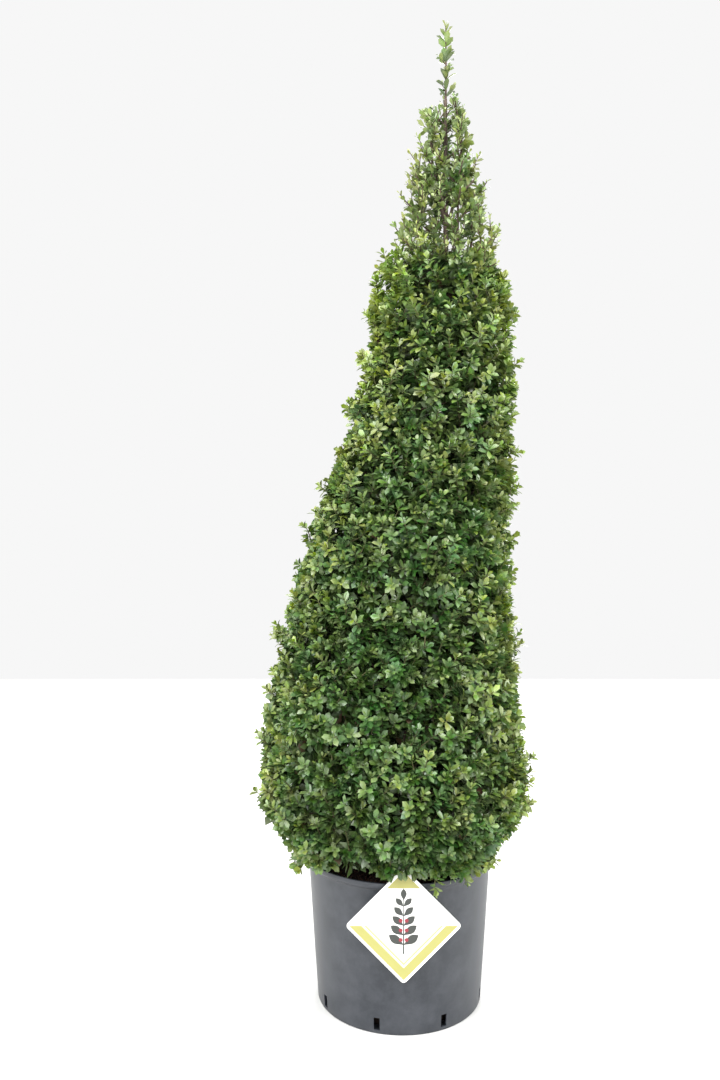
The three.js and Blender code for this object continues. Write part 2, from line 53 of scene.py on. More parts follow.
# The place and the aim of each lamp and the width of its disc, in metres, and its power in watts.
LAMPS = {
    "overhead_lamp": ((-0.6, -1.4, 4.6), (0, 0, 0.8), 3.0, 185),
    "front_lamp": ((0.2, -3.4, 2.4), (0, 0, 0.9), 2.2, 48),
    "left_lamp": ((-2.3, -2.1, 2.5), (0, 0, 1.0), 1.8, 104),
    "right_lamp": ((2.6, -1.4, 2.5), (0, 0, 1.0), 1.8, 104),
    "back_lamp": ((0.5, 2.9, 2.5), (0, 0, 1.0), 1.8, 100),
}


def linear(hex_colour):
    """Turns an sRGB hex colour to linear RGBA."""
    channels = [int(hex_colour[i:i + 2], 16) / 255 for i in (1, 3, 5)]
    return (*[c / 12.92 if c <= 0.04045 else ((c + 0.055) / 1.055) ** 2.4 for c in channels], 1.0)


def add_node(tree, kind, settings=None, inputs=None):
    """Adds a node with its settings, and sets each input to a value or links it to another node's output."""
    node = tree.nodes.new(kind)
    for name, value in (settings or {}).items():
        setattr(node, name, value)
    for name, value in (inputs or {}).items():
        if isinstance(value, bpy.types.NodeSocket):
            tree.links.new(value, node.inputs[name])
        else:
            node.inputs[name].default_value = value
    return node


def new_finish(name):
    """A new material: itself, its tree and its shader."""
    finish = bpy.data.materials.new(name)
    finish.use_nodes = True
    return finish, finish.node_tree, finish.node_tree.nodes["Principled BSDF"]


def mesh_piece(name, vertices, faces, finish, smooth=True):
    """An object at the origin, from vertices in millimetres and faces by their numbers."""
    mesh = bpy.data.meshes.new(name)
    mesh.from_pydata((np.asarray(vertices, float) * MM).tolist(), [], faces)
    mesh.polygons.foreach_set("use_smooth", [smooth] * len(mesh.polygons))
    mesh.materials.append(finish)
    piece = bpy.data.objects.new(name, mesh)
    bpy.context.scene.collection.objects.link(piece)
    return piece


def add_lamp(name, place, aim, size, power):
    """A soft round lamp at a place, turned to face its aim."""
    lamp = bpy.data.lights.new(name, "AREA")
    lamp.shape = "DISK"
    lamp.size = size
    lamp.energy = power
    holder = bpy.data.objects.new(name, lamp)
    holder.location = place
    way = np.array(aim) - np.array(place)
    holder.rotation_euler = (
        math.atan2(math.hypot(way[0], way[1]), -way[2]), 0, math.atan2(way[1], way[0]) - math.pi / 2)
    bpy.context.scene.collection.objects.link(holder)


camera_data = bpy.data.cameras.new("camera")
camera_data.lens = CAMERA_LENS
camera_data.sensor_width = CAMERA_FRAME
camera = bpy.data.objects.new("camera", camera_data)
camera.location = CAMERA_PLACE
camera.rotation_euler = (math.pi / 2, 0, 0)
bpy.context.scene.collection.objects.link(camera)
bpy.context.scene.camera = camera

air = bpy.data.worlds.new("air")
air.use_nodes = True
air.node_tree.nodes["Background"].inputs["Color"].default_value = linear(AIR_COLOUR)
air.node_tree.nodes["Background"].inputs["Strength"].default_value = AIR_STRENGTH
bpy.context.scene.world = air
bpy.context.scene.view_settings.view_transform = "Standard"
for lamp_name, lamp in LAMPS.items():
    add_lamp(lamp_name, *lamp)

# Matt painted floor: an even, pale surface with a soft sheen.
floor_finish, _, floor_shader = new_finish("matt_floor_paint")
floor_shader.inputs["Base Color"].default_value = linear(FLOOR_COLOUR)
floor_shader.inputs["Roughness"].default_value = 0.7
floor_corners = np.array([(-1, -1, 0), (1, -1, 0), (1, 1, 0), (-1, 1, 0)]) * FLOOR_REACH
floor = mesh_piece("floor", floor_corners - [0, 0, FLOOR_DROP], [(0, 1, 2, 3)], floor_finish)


# The pot: a round nursery container, injection moulded from black polypropylene with a satin skin.
# Its wall widens upwards to a short outward lip, and eight drain slots are cut round its foot.

POT_HEIGHT = 250
POT_RIM = 166
POT_SIDES = 144
# Radius and height, from the middle of the underside out, up, over the lip and back to the floor's middle.
POT_PROFILE = [
    (0, 0), (120, 0), (138.4, 0), (140.4, 0.6), (141, 2.2), (142.2, 20), (149, 118), (156.6, 231),
    (157.2, 235), (158.6, 237.6), (162.6, 239.8), (164.3, 241.6), (165, 244), (165.9, 248.4), (165.6, 249.6),
    (164.8, 250), (163, 250), (162.3, 249.5), (161.6, 246), (160, 241.5), (155, 238), (154, 234), (139.5, 20),
    (138, 4.6), (137, 4), (60, 4), (0, 4),
]
SLOT_COUNT = 8
SLOT_FIRST = math.radians(-107)
SLOT_RADIUS = 141  # of the ring of their middles
SLOT_SIZE = (18, 10, 20)  # through the wall, along it and up
SLOT_MIDDLE = 16
SHARP_EDGE = math.radians(40)  # an edge that turns more than this stays crisp
POT_COLOUR = "#262a31"
POT_SCUFF = "#3d4046"
DUST_PATCH = 38
SKIN_GRAIN = 1.2


def ring_quads(rings, sides):
    """The faces between rings of vertices that follow each other, each numbered the same way round."""
    faces = []
    for ring in range(rings - 1):
        low = ring * sides
        high = low + sides
        for side in range(sides):
            after = (side + 1) % sides
            faces.append((low + side, low + after, high + after, high + side))
    return faces


def turned(profile, sides):
    """Vertices and faces of a shape turned on Z from radius and height pairs, from the axis to the axis."""
    rings = profile[1:-1]
    angles = np.linspace(0, 2 * np.pi, sides, endpoint=False)
    vertices = [(r * math.cos(a), r * math.sin(a), z) for r, z in rings for a in angles]
    vertices += [(0, 0, profile[0][1]), (0, 0, profile[-1][1])]
    faces = ring_quads(len(rings), sides)
    last = (len(rings) - 1) * sides
    for side in range(sides):
        after = (side + 1) % sides
        faces.append((after, side, len(vertices) - 2))
        faces.append((last + side, last + after, len(vertices) - 1))
    return vertices, faces


def new_tree(name, **sockets):
    """A Geometry Nodes tree with a geometry in and out and the named inputs, and its input node."""
    tree = bpy.data.node_groups.new(name, "GeometryNodeTree")
    tree.interface.new_socket("Geometry", in_out="INPUT", socket_type="NodeSocketGeometry")
    tree.interface.new_socket("Geometry", in_out="OUTPUT", socket_type="NodeSocketGeometry")
    for socket, kind in sockets.items():
        tree.interface.new_socket(socket, in_out="INPUT", socket_type="NodeSocket" + kind)
    return tree, add_node(tree, "NodeGroupInput")


def end_tree(tree, geometry, finish):
    """Ends a tree: every instance made real, all in one finish."""
    real = add_node(tree, "GeometryNodeRealizeInstances", inputs={"Geometry": geometry})
    painted = add_node(tree, "GeometryNodeSetMaterial", inputs={
        "Geometry": real.outputs["Geometry"], "Material": finish})
    add_node(tree, "NodeGroupOutput", inputs={"Geometry": painted.outputs["Geometry"]})


def make_real(piece, tree, **values):
    """Runs a tree on a piece with the given inputs, and keeps the result as the piece's plain mesh."""
    modifier = piece.modifiers.new(tree.name, "NODES")
    modifier.node_group = tree
    names = {item.name: item.identifier for item in tree.interface.items_tree if item.in_out == "INPUT"}
    for name, value in values.items():
        modifier[names[name]] = value
    bpy.context.view_layer.update()
    evaluated = piece.evaluated_get(bpy.context.evaluated_depsgraph_get())
    mesh = bpy.data.meshes.new_from_object(evaluated)
    piece.modifiers.clear()
    piece.data = mesh
    return piece


# Black polypropylene: charcoal through its mass, satin from the mould, faintly scuffed and dusty.
pot_finish, tree, shader = new_finish("moulded_polypropylene")
place = add_node(tree, "ShaderNodeTexCoord")
dust = add_node(tree, "ShaderNodeTexNoise", inputs={
    "Vector": place.outputs["Object"], "Scale": 1 / (DUST_PATCH * MM), "Detail": 6, "Roughness": 0.68})
tone = add_node(tree, "ShaderNodeValToRGB", inputs={"Fac": dust.outputs["Fac"]})
for element, limit, colour in zip(tone.color_ramp.elements, (0.38, 0.72), (POT_COLOUR, POT_SCUFF)):
    element.position = limit
    element.color = linear(colour)
gloss = add_node(tree, "ShaderNodeMapRange", inputs={
    "Value": dust.outputs["Fac"], "From Min": 0.35, "From Max": 0.7, "To Min": 0.36, "To Max": 0.46})
grain = add_node(tree, "ShaderNodeTexNoise", inputs={
    "Vector": place.outputs["Object"], "Scale": 1 / (SKIN_GRAIN * MM), "Detail": 2})
skin = add_node(tree, "ShaderNodeBump", inputs={
    "Height": grain.outputs["Fac"], "Strength": 0.12, "Distance": 0.3 * MM})
tree.links.new(tone.outputs["Color"], shader.inputs["Base Color"])
tree.links.new(gloss.outputs["Result"], shader.inputs["Roughness"])
tree.links.new(skin.outputs["Normal"], shader.inputs["Normal"])
shader.inputs["IOR"].default_value = 1.5

# The slots: one cutter on each point of a ring, taken out of the wall.
slot_tree, source = new_tree(
    "drain_slots", Count="Int", Radius="Float", Height="Float", First="Float", Size="Vector",
    Finish="Material")
ring = add_node(slot_tree, "GeometryNodeMeshCircle", inputs={
    "Vertices": source.outputs["Count"], "Radius": source.outputs["Radius"]})
index = add_node(slot_tree, "GeometryNodeInputIndex")
step = add_node(slot_tree, "ShaderNodeMath", {"operation": "DIVIDE"}, {
    0: 2 * math.pi, 1: source.outputs["Count"]})
turn = add_node(slot_tree, "ShaderNodeMath", {"operation": "MULTIPLY"}, {
    0: index.outputs["Index"], 1: step.outputs["Value"]})
spin = add_node(slot_tree, "ShaderNodeCombineXYZ", inputs={"Z": turn.outputs["Value"]})
cutter = add_node(slot_tree, "GeometryNodeMeshCube", inputs={"Size": source.outputs["Size"]})
cutters = add_node(slot_tree, "GeometryNodeInstanceOnPoints", inputs={
    "Points": ring.outputs["Mesh"], "Instance": cutter.outputs["Mesh"], "Rotation": spin.outputs["Vector"]})
real_cutters = add_node(slot_tree, "GeometryNodeRealizeInstances", inputs={
    "Geometry": cutters.outputs["Instances"]})
lift = add_node(slot_tree, "ShaderNodeCombineXYZ", inputs={"Z": source.outputs["Height"]})
swing = add_node(slot_tree, "ShaderNodeCombineXYZ", inputs={"Z": source.outputs["First"]})
set_round = add_node(slot_tree, "GeometryNodeTransform", inputs={
    "Geometry": real_cutters.outputs["Geometry"], "Translation": lift.outputs["Vector"],
    "Rotation": swing.outputs["Vector"]})
cut = add_node(slot_tree, "GeometryNodeMeshBoolean", {"operation": "DIFFERENCE"}, {
    "Mesh 1": source.outputs["Geometry"], "Mesh 2": set_round.outputs["Geometry"]})
end_tree(slot_tree, cut.outputs["Mesh"], source.outputs["Finish"])

pot = mesh_piece("nursery_pot", *turned(POT_PROFILE, POT_SIDES), pot_finish)
make_real(
    pot, slot_tree, Count=SLOT_COUNT, Radius=SLOT_RADIUS * MM, Height=SLOT_MIDDLE * MM, First=SLOT_FIRST,
    Size=tuple(side * MM for side in SLOT_SIZE), Finish=pot_finish)
pot.data.set_sharp_from_angle(angle=SHARP_EDGE)
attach(pot, "root")
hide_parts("pot")


# The potting mix: dark composted bark and peat, packed round the roots to a finger's breadth under the rim.
# Loose crumbs of bark lie on its uneven top.

SOIL_LEVEL = 226
SOIL_TOP_RADIUS = 152
SOIL_PROFILE = [(0, 4.3), (60, 4.3), (122, 4.3), (126, 30), (140, 48), (SOIL_TOP_RADIUS, 224)]
SOIL_RINGS = 14
SOIL_SIDES = 72
SOIL_SWELL = 2.2
SOIL_EVEN_RADIUS = 34  # the top is even as far as this from the trunk
SOIL_COLOURS = ("#1d1310", "#3b281f")
SOIL_CLOD = 9
CRUMB_COLOURS = ("#2a1b15", "#5a3c2c")
CRUMB_CLOD = 4
CRUMB_SIZE = 5.5
CRUMB_LEAST = (0.5, 0.35, 0.25)  # shares of that size along, across and through a crumb
CRUMB_MOST = (2.0, 1.0, 0.6)
CRUMB_TURN = (6.28, 6.28, 6.28)
CRUMB_SEED = 4
CRUMBS_PER_SQUARE_METRE = 26000

soil_top = [(SOIL_TOP_RADIUS * (1 - k / SOIL_RINGS), SOIL_LEVEL) for k in range(SOIL_RINGS + 1)]
soil_vertices, soil_faces = turned(SOIL_PROFILE + soil_top, SOIL_SIDES)
soil_vertices = np.array(soil_vertices)
span = np.hypot(soil_vertices[:, 0], soil_vertices[:, 1])
swell = np.sin(soil_vertices[:, 0] / 17 + 1) * np.sin(soil_vertices[:, 1] / 21) + 0.6 * np.sin(span / 6)
on_top = (soil_vertices[:, 2] > SOIL_LEVEL - 1) & (span > SOIL_EVEN_RADIUS)
soil_vertices[:, 2] += np.where(on_top, SOIL_SWELL * swell, 0)


def crumbly(name, colours, clod):
    """Composted bark: dull dark brown, patchy from clod to clod, rough and light-drinking."""
    finish, tree, shader = new_finish(name)
    place = add_node(tree, "ShaderNodeTexCoord")
    patch = add_node(tree, "ShaderNodeTexNoise", inputs={
        "Vector": place.outputs["Object"], "Scale": 1 / (clod * MM), "Detail": 6, "Roughness": 0.65})
    tone = add_node(tree, "ShaderNodeValToRGB", inputs={"Fac": patch.outputs["Fac"]})
    for element, limit, colour in zip(tone.color_ramp.elements, (0.35, 0.68), colours):
        element.position = limit
        element.color = linear(colour)
    grit = add_node(tree, "ShaderNodeBump", inputs={
        "Height": patch.outputs["Fac"], "Strength": 0.8, "Distance": 2 * MM})
    tree.links.new(tone.outputs["Color"], shader.inputs["Base Color"])
    tree.links.new(grit.outputs["Normal"], shader.inputs["Normal"])
    shader.inputs["Roughness"].default_value = 0.92
    return finish


soil_finish = crumbly("composted_peat", SOIL_COLOURS, SOIL_CLOD)
crumb_finish = crumbly("bark_crumb", CRUMB_COLOURS, CRUMB_CLOD)
soil = mesh_piece("potting_mix", soil_vertices, soil_faces, soil_finish)
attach(soil, "root")
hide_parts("soil")

# Crumbs scattered over the upward faces, each turned and sized at random from a fixed seed.
crumb_tree, source = new_tree("bark_crumbs", Density="Float", Size="Float", Seed="Int", Finish="Material")
normal = add_node(crumb_tree, "GeometryNodeInputNormal")
upward = add_node(crumb_tree, "ShaderNodeSeparateXYZ", inputs={"Vector": normal.outputs["Normal"]})
faces_up = add_node(crumb_tree, "FunctionNodeCompare", {"operation": "GREATER_THAN"}, {
    "A": upward.outputs["Z"], "B": 0.5})
spots = add_node(crumb_tree, "GeometryNodeDistributePointsOnFaces", inputs={
    "Mesh": source.outputs["Geometry"], "Selection": faces_up.outputs["Result"],
    "Density": source.outputs["Density"], "Seed": source.outputs["Seed"]})
crumb = add_node(crumb_tree, "GeometryNodeMeshIcoSphere", inputs={"Radius": 0.5, "Subdivisions": 1})
any_turn = add_node(crumb_tree, "FunctionNodeRandomValue", {"data_type": "FLOAT_VECTOR"}, {
    "Min": (0, 0, 0), "Max": CRUMB_TURN, "Seed": source.outputs["Seed"]})
any_size = add_node(crumb_tree, "FunctionNodeRandomValue", {"data_type": "FLOAT_VECTOR"}, {
    "Min": CRUMB_LEAST, "Max": CRUMB_MOST})
crumb_size = add_node(crumb_tree, "ShaderNodeVectorMath", {"operation": "SCALE"}, {
    "Vector": any_size.outputs["Value"], "Scale": source.outputs["Size"]})
crumbs = add_node(crumb_tree, "GeometryNodeInstanceOnPoints", inputs={
    "Points": spots.outputs["Points"], "Instance": crumb.outputs["Mesh"],
    "Rotation": any_turn.outputs["Value"], "Scale": crumb_size.outputs["Vector"]})
end_tree(crumb_tree, crumbs.outputs["Instances"], source.outputs["Finish"])

bark_crumbs = mesh_piece("bark_crumbs", soil_vertices, soil_faces, crumb_finish)
make_real(
    bark_crumbs, crumb_tree, Density=CRUMBS_PER_SQUARE_METRE, Size=CRUMB_SIZE * MM, Seed=CRUMB_SEED,
    Finish=crumb_finish)
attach(bark_crumbs, "root")


# The label: a square of stiff white polystyrene card hung on one corner, with a tongue hooked over the rim.
# It is printed with a plain design of its own: yellow chevrons and corner round a dark sprig with berries.

CARD_SIDE = 129
CARD_CORNER = 6
CARD_THICK = 1
CARD_FRONT = -168
CARD_MIDDLE = 187
CARD_COLOUR = "#e8e7e3"
CARD_ROUGHNESS = 0.35
CARD_RIPPLE = 14
TONGUE_WIDTH = 16
TONGUE_OVER_RIM = 0.4
# The tongue's section: y, and height over the rim where the tongue lies on it.
TONGUE_LINE = [
    (-167.4, 0), (-167.4, 8.6), (-154, 1), (-149, -4), (-149, -18), (-150, -18), (-150, -4), (-154.5, 0)]
INK_ROUGHNESS = 0.38
INK_THICK = 0.06  # each ink stands this far over the one before it
INK_STEP = 0.004  # between shapes in one ink, so that no two share a plane
INKS = {"yellow": "#a5a15d", "pale_yellow": "#b2af7e", "charcoal": "#3a3d3a", "berry_red": "#8a2a36"}
CHEVRONS = {"yellow": (85, 66), "pale_yellow": (62, 58)}  # half diagonals of their outer and inner edges
TOP_CORNER = 26
TOP_CORNER_MARGIN = 7
SPRIG_FOOT = CARD_MIDDLE - 44
SPRIG_TOP = CARD_MIDDLE + 40
SPRIG_PAIRS = 5
SPRIG_PITCH = 15  # from one pair of leaves to the next
FIRST_PAIR = 14  # over the sprig's foot
FIRST_LEAN = 56  # degrees off the stem, and 3 less for each pair
FIRST_LENGTH = 28  # and 2.5 less for each pair
TOP_LEAF_LENGTH = 19
BERRY_PAIRS = 3
BERRY_RADIUS = 3
BERRY_OFF_STEM = 4.6
FIRST_BERRIES = 22  # over the sprig's foot


def rounded_diamond(side, corner, steps=6):
    """The outline of a square hung on one corner, as x and z pairs round its middle."""
    half = side / 2 - corner
    points = []
    for turn, (sx, sz) in enumerate([(1, 1), (-1, 1), (-1, -1), (1, -1)]):
        for angle in np.linspace(turn * 90, turn * 90 + 90, steps):
            x = sx * half + corner * math.cos(math.radians(angle))
            z = sz * half + corner * math.sin(math.radians(angle))
            points.append(((x - z) / math.sqrt(2), (x + z) / math.sqrt(2)))
    return points


def slab(front, back):
    """A closed slab between two outlines that have as many points."""
    count = len(front)
    faces = [list(range(count)), list(range(2 * count - 1, count - 1, -1))]
    for i in range(count):
        after = (i + 1) % count
        faces.append((i, i + count, after + count, after))
    return front + back, faces


def plate(outline, front, back):
    """A flat plate facing -Y with the given outline of x and z pairs."""
    return slab([(x, front, z) for x, z in outline], [(x, back, z) for x, z in outline])


def joined(*parts):
    """Several shapes as one list of vertices and one of faces."""
    vertices, faces = [], []
    for part_vertices, part_faces in parts:
        faces += [[i + len(vertices) for i in face] for face in part_faces]
        vertices += list(part_vertices)
    return vertices, faces


def printed(name, colour, roughness):
    """Printed polystyrene card: smooth and evenly coloured, with a soft gloss and the faintest ripple."""
    finish, tree, shader = new_finish(name)
    place = add_node(tree, "ShaderNodeTexCoord")
    ripple = add_node(tree, "ShaderNodeTexNoise", inputs={
        "Vector": place.outputs["Object"], "Scale": 1 / (CARD_RIPPLE * MM), "Detail": 2})
    tone = add_node(tree, "ShaderNodeHueSaturation", inputs={"Color": linear(colour)})
    shade = add_node(tree, "ShaderNodeMapRange", inputs={
        "Value": ripple.outputs["Fac"], "To Min": 0.96, "To Max": 1.03})
    tree.links.new(shade.outputs["Result"], tone.inputs["Value"])
    tree.links.new(tone.outputs["Color"], shader.inputs["Base Color"])
    wave = add_node(tree, "ShaderNodeBump", inputs={
        "Height": ripple.outputs["Fac"], "Strength": 0.1, "Distance": 0.5 * MM})
    tree.links.new(wave.outputs["Normal"], shader.inputs["Normal"])
    shader.inputs["Roughness"].default_value = roughness
    return finish


def sprig_leaf(foot, angle, length):
    """One printed leaf as an outline of x and z pairs."""
    along = np.linspace(0, 1, 9)
    half = 0.24 * length * np.sin(np.pi * along ** 1.25)
    side = np.concatenate([half, -half[-2:0:-1]])
    run = np.concatenate([along, along[-2:0:-1]]) * length
    cos, sin = math.cos(angle), math.sin(angle)
    return [(foot[0] + a * cos - s * sin, foot[1] + a * sin + s * cos) for a, s in zip(run, side)]


def sprig_pair(k):
    """The two leaves of one pair on the printed stem, shorter and steeper than those of the pair below it."""
    foot = (0, SPRIG_FOOT + FIRST_PAIR + SPRIG_PITCH * k)
    angles = [math.radians(90 + side * (FIRST_LEAN - 3 * k)) for side in (-1, 1)]
    return [sprig_leaf(foot, angle, FIRST_LENGTH - 2.5 * k)[::-1] for angle in angles]


def chevron(outer, inner):
    """A band along the two lower edges of the card, between two half diagonals."""
    points = [(-outer, 0), (0, -outer), (outer, 0), (inner, 0), (0, -inner), (-inner, 0)]
    return [(x, z + CARD_MIDDLE) for x, z in points[::-1]]


def dot(x, z, radius):
    """A printed berry as an outline of x and z pairs."""
    angles = np.linspace(0, -2 * np.pi, 20, endpoint=False)
    return [(x + radius * math.cos(a), z + radius * math.sin(a)) for a in angles]


card = [(x, z + CARD_MIDDLE) for x, z in rounded_diamond(CARD_SIDE, CARD_CORNER)]
card_shape = plate(card[::-1], CARD_FRONT, CARD_FRONT + CARD_THICK)
tongue_line = [(y, POT_HEIGHT + TONGUE_OVER_RIM + z) for y, z in TONGUE_LINE]
tongue_sides = [[(x, y, z) for y, z in tongue_line] for x in (-TONGUE_WIDTH / 2, TONGUE_WIDTH / 2)]
card_finish = printed("white_polystyrene_card", CARD_COLOUR, CARD_ROUGHNESS)
label = mesh_piece("plant_label_card", *joined(card_shape, slab(*tongue_sides)), card_finish, False)
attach(label, "root")
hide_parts("plant_label")

sprig = [[(-1.2, SPRIG_FOOT), (-0.5, SPRIG_TOP), (0.5, SPRIG_TOP), (1.2, SPRIG_FOOT)]]
for k in range(SPRIG_PAIRS):
    sprig += sprig_pair(k)
sprig.append(sprig_leaf((0, SPRIG_TOP - 1), math.radians(90), TOP_LEAF_LENGTH)[::-1])
berries = [
    dot(side * BERRY_OFF_STEM, SPRIG_FOOT + FIRST_BERRIES + SPRIG_PITCH * k, BERRY_RADIUS)
    for k in range(BERRY_PAIRS) for side in (-1, 1)]
card_top = CARD_MIDDLE + CARD_SIDE / math.sqrt(2) - TOP_CORNER_MARGIN
corner = [(-TOP_CORNER, card_top - TOP_CORNER), (0, card_top), (TOP_CORNER, card_top - TOP_CORNER)]
prints = {
    "yellow": [chevron(*CHEVRONS["yellow"]), corner],
    "pale_yellow": [chevron(*CHEVRONS["pale_yellow"])],
    "charcoal": sprig,
    "berry_red": berries,
}
for number, (colour, outlines) in enumerate(prints.items(), 1):
    ink = printed(f"printed_{colour}", INKS[colour], INK_ROUGHNESS)
    front = CARD_FRONT - INK_THICK * number
    shapes = [plate(outline, front - INK_STEP * k, CARD_FRONT) for k, outline in enumerate(outlines)]
    art = mesh_piece(f"label_print_{colour}", *joined(*shapes), ink, False)
    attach(art, "root")


# The trunk: one stem of grey-brown wood from a flared foot on the soil up through the crown to its tip,
# with thin bark in shallow upright furrows. It leans towards +X as it climbs.

TRUNK_TOP = 1560
TRUNK_FOOT = 14
TRUNK_TIP = 2.6
TRUNK_FLARE = 0.75
TRUNK_FLARE_HEIGHT = 45
TRUNK_SEAT = 0.3  # clear of the soil, so that the two never share a plane
TRUNK_RINGS = 150
TRUNK_RING_CROWDING = 1.25  # over 1, so that the rings are closer at the flared foot
TRUNK_SIDES = 20
TRUNK_LEAN = 82
LEAN_FROM = 460
LEAN_TO = 1300
BARK_COLOURS = ("#2a201a", "#5a4a3d")
BARK_STREAK = 4
BARK_DRAWN_OUT = 0.3  # the streaks' width as a share of their height
STEADY = (0.31, 0.95, 0.05)  # a direction that no limb runs along
FURROW = 0.07  # depth of the bark's relief, as a share of the limb's radius


def smooth_step(value, low, high):
    """Climbs from 0 at the low value to 1 at the high one, level at both ends."""
    t = np.clip((np.asarray(value, float) - low) / (high - low), 0, 1)
    return t * t * (3 - 2 * t)


def trunk_centre(height):
    """How far the trunk's middle lies towards +X."""
    return TRUNK_LEAN * smooth_step(height, LEAN_FROM, LEAN_TO)


def trunk_radius(height):
    """The trunk's radius, tapering evenly over a flared foot."""
    climb = (height - SOIL_LEVEL) / (TRUNK_TOP - SOIL_LEVEL)
    flare = TRUNK_FLARE * np.exp((SOIL_LEVEL - height) / TRUNK_FLARE_HEIGHT)
    return TRUNK_FOOT + (TRUNK_TIP - TRUNK_FOOT) * climb + TRUNK_FOOT * flare


def unit(vectors):
    """Vectors brought to a length of 1."""
    return vectors / np.linalg.norm(vectors, axis=-1, keepdims=True)


def barked_limb(path, radii, sides):
    """A limb with flat ends along a path, its bark raised in shallow furrows that wander as they run up."""
    path = np.asarray(path, float)
    tangents = unit(np.gradient(path, axis=0))
    across = unit(np.cross(tangents, STEADY))
    over = np.cross(tangents, across)
    angles = np.linspace(0, 2 * np.pi, sides, endpoint=False)
    run = np.concatenate([[0], np.cumsum(np.linalg.norm(np.diff(path, axis=0), axis=1))])[:, None]
    furrows = (np.sin(5 * angles + run / 31) + 0.7 * np.sin(9 * angles - run / 17 + 1)
               + 0.5 * np.sin(run / 9 + 2 * angles))
    reach = np.asarray(radii, float)[:, None] * (1 + FURROW * (furrows - 1.6) / 2.2)
    rings = (path[:, None]
             + across[:, None] * (np.cos(angles) * reach)[..., None]
             + over[:, None] * (np.sin(angles) * reach)[..., None])
    vertices = rings.reshape(-1, 3).tolist()
    ends = [list(range(sides - 1, -1, -1)), list(range(len(vertices) - sides, len(vertices)))]
    return vertices, ends + ring_quads(len(path), sides)


def bark(name, colours, furrow):
    """Thin young bark: dull grey-brown, paler on the ridges, streaked along the wood and slightly rough."""
    finish, tree, shader = new_finish(name)
    place = add_node(tree, "ShaderNodeTexCoord")
    along = add_node(tree, "ShaderNodeMapping", inputs={
        "Vector": place.outputs["Object"], "Scale": (1, 1, BARK_DRAWN_OUT)})
    streak = add_node(tree, "ShaderNodeTexNoise", inputs={
        "Vector": along.outputs["Vector"], "Scale": 1 / (furrow * MM), "Detail": 5, "Roughness": 0.6})
    tone = add_node(tree, "ShaderNodeValToRGB", inputs={"Fac": streak.outputs["Fac"]})
    for element, limit, colour in zip(tone.color_ramp.elements, (0.36, 0.66), colours):
        element.position = limit
        element.color = linear(colour)
    ridge = add_node(tree, "ShaderNodeBump", inputs={
        "Height": streak.outputs["Fac"], "Strength": 0.6, "Distance": 0.8 * MM})
    tree.links.new(tone.outputs["Color"], shader.inputs["Base Color"])
    tree.links.new(ridge.outputs["Normal"], shader.inputs["Normal"])
    shader.inputs["Roughness"].default_value = 0.78
    return finish


bark_finish = bark("grey_brown_bark", BARK_COLOURS, BARK_STREAK)
trunk_climb = np.linspace(0, 1, TRUNK_RINGS) ** TRUNK_RING_CROWDING
trunk_heights = SOIL_LEVEL + TRUNK_SEAT + (TRUNK_TOP - SOIL_LEVEL - TRUNK_SEAT) * trunk_climb
trunk_line = np.stack([trunk_centre(trunk_heights), 0 * trunk_heights, trunk_heights], 1)
trunk_shape = barked_limb(trunk_line, trunk_radius(trunk_heights), TRUNK_SIDES)
trunk = mesh_piece("trunk_bark", *trunk_shape, bark_finish)
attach(trunk, "root")
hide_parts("trunk")


# The boughs of the open top: seven slim limbs of the same wood, rising steeply out of the trunk.
# Each ends where the twigs of its spray begin.

CROWN_FOOT = 258
CROWN_SKIRT = 196
CROWN_GIRTH_HEIGHT = 330
CROWN_GIRTH = 244
CROWN_APEX = 1604
CROWN_TAPER = 0.65
CROWN_TUCK = 1.8  # how sharply the skirt is drawn in under the girth
CROWN_LOW_OFFSET = -18
CROWN_TIP = 1700
SWEEP = 0.3  # how far the limbs sink towards the trunk, for each millimetre of depth
FOOT_LIFTS = {"least": 14, "left": 38, "front": 22}
LIFT_TOP = 400  # where the lift of the skirt's foot has faded out
# Each band of the crown: its lowest and highest point, its parts, and the azimuth of the first in degrees.
TIERS = {
    "skirt": (CROWN_FOOT, 470, 5, -126),
    "low": (470, 710, 4, -100),
    "middle": (710, 960, 4, -55),
    "high": (960, 1290, 3, -100),
}
RINGS = {
    "lower": (1290, 1440, 4, -72),
    "upper": (1440, 1560, 3, -150),
}
BOUGH_RADII = (3.4, 2.6)
BOUGH_RINGS = 22
BOUGH_SIDES = 12
BOUGH_START = 0.04
BOUGH_RISE = 110
BOUGH_STAGGER = 9
BOUGH_END_SHARE = 0.5
BOUGH_END_ABOVE = 22
TURN_OUT = 0.5  # how strongly a twig turns to its heading


def crown_centre(height):
    """How far the crown's middle lies towards +X."""
    return CROWN_LOW_OFFSET + (TRUNK_LEAN - CROWN_LOW_OFFSET) * smooth_step(height, LEAN_FROM, LEAN_TO)


def crown_radius(height):
    """The radius of the clipped outline: drawn in under its girth, and a tapering spire over it."""
    height = np.asarray(height, float)
    left = np.maximum(CROWN_APEX - height, 1) / (CROWN_APEX - CROWN_GIRTH_HEIGHT)
    drop = np.clip((CROWN_GIRTH_HEIGHT - height) / (CROWN_GIRTH_HEIGHT - CROWN_FOOT), 0, 1)
    under = CROWN_GIRTH + (CROWN_SKIRT - CROWN_GIRTH) * drop ** CROWN_TUCK
    return np.where(height > CROWN_GIRTH_HEIGHT, CROWN_GIRTH * np.minimum(left, 1) ** CROWN_TAPER, under)


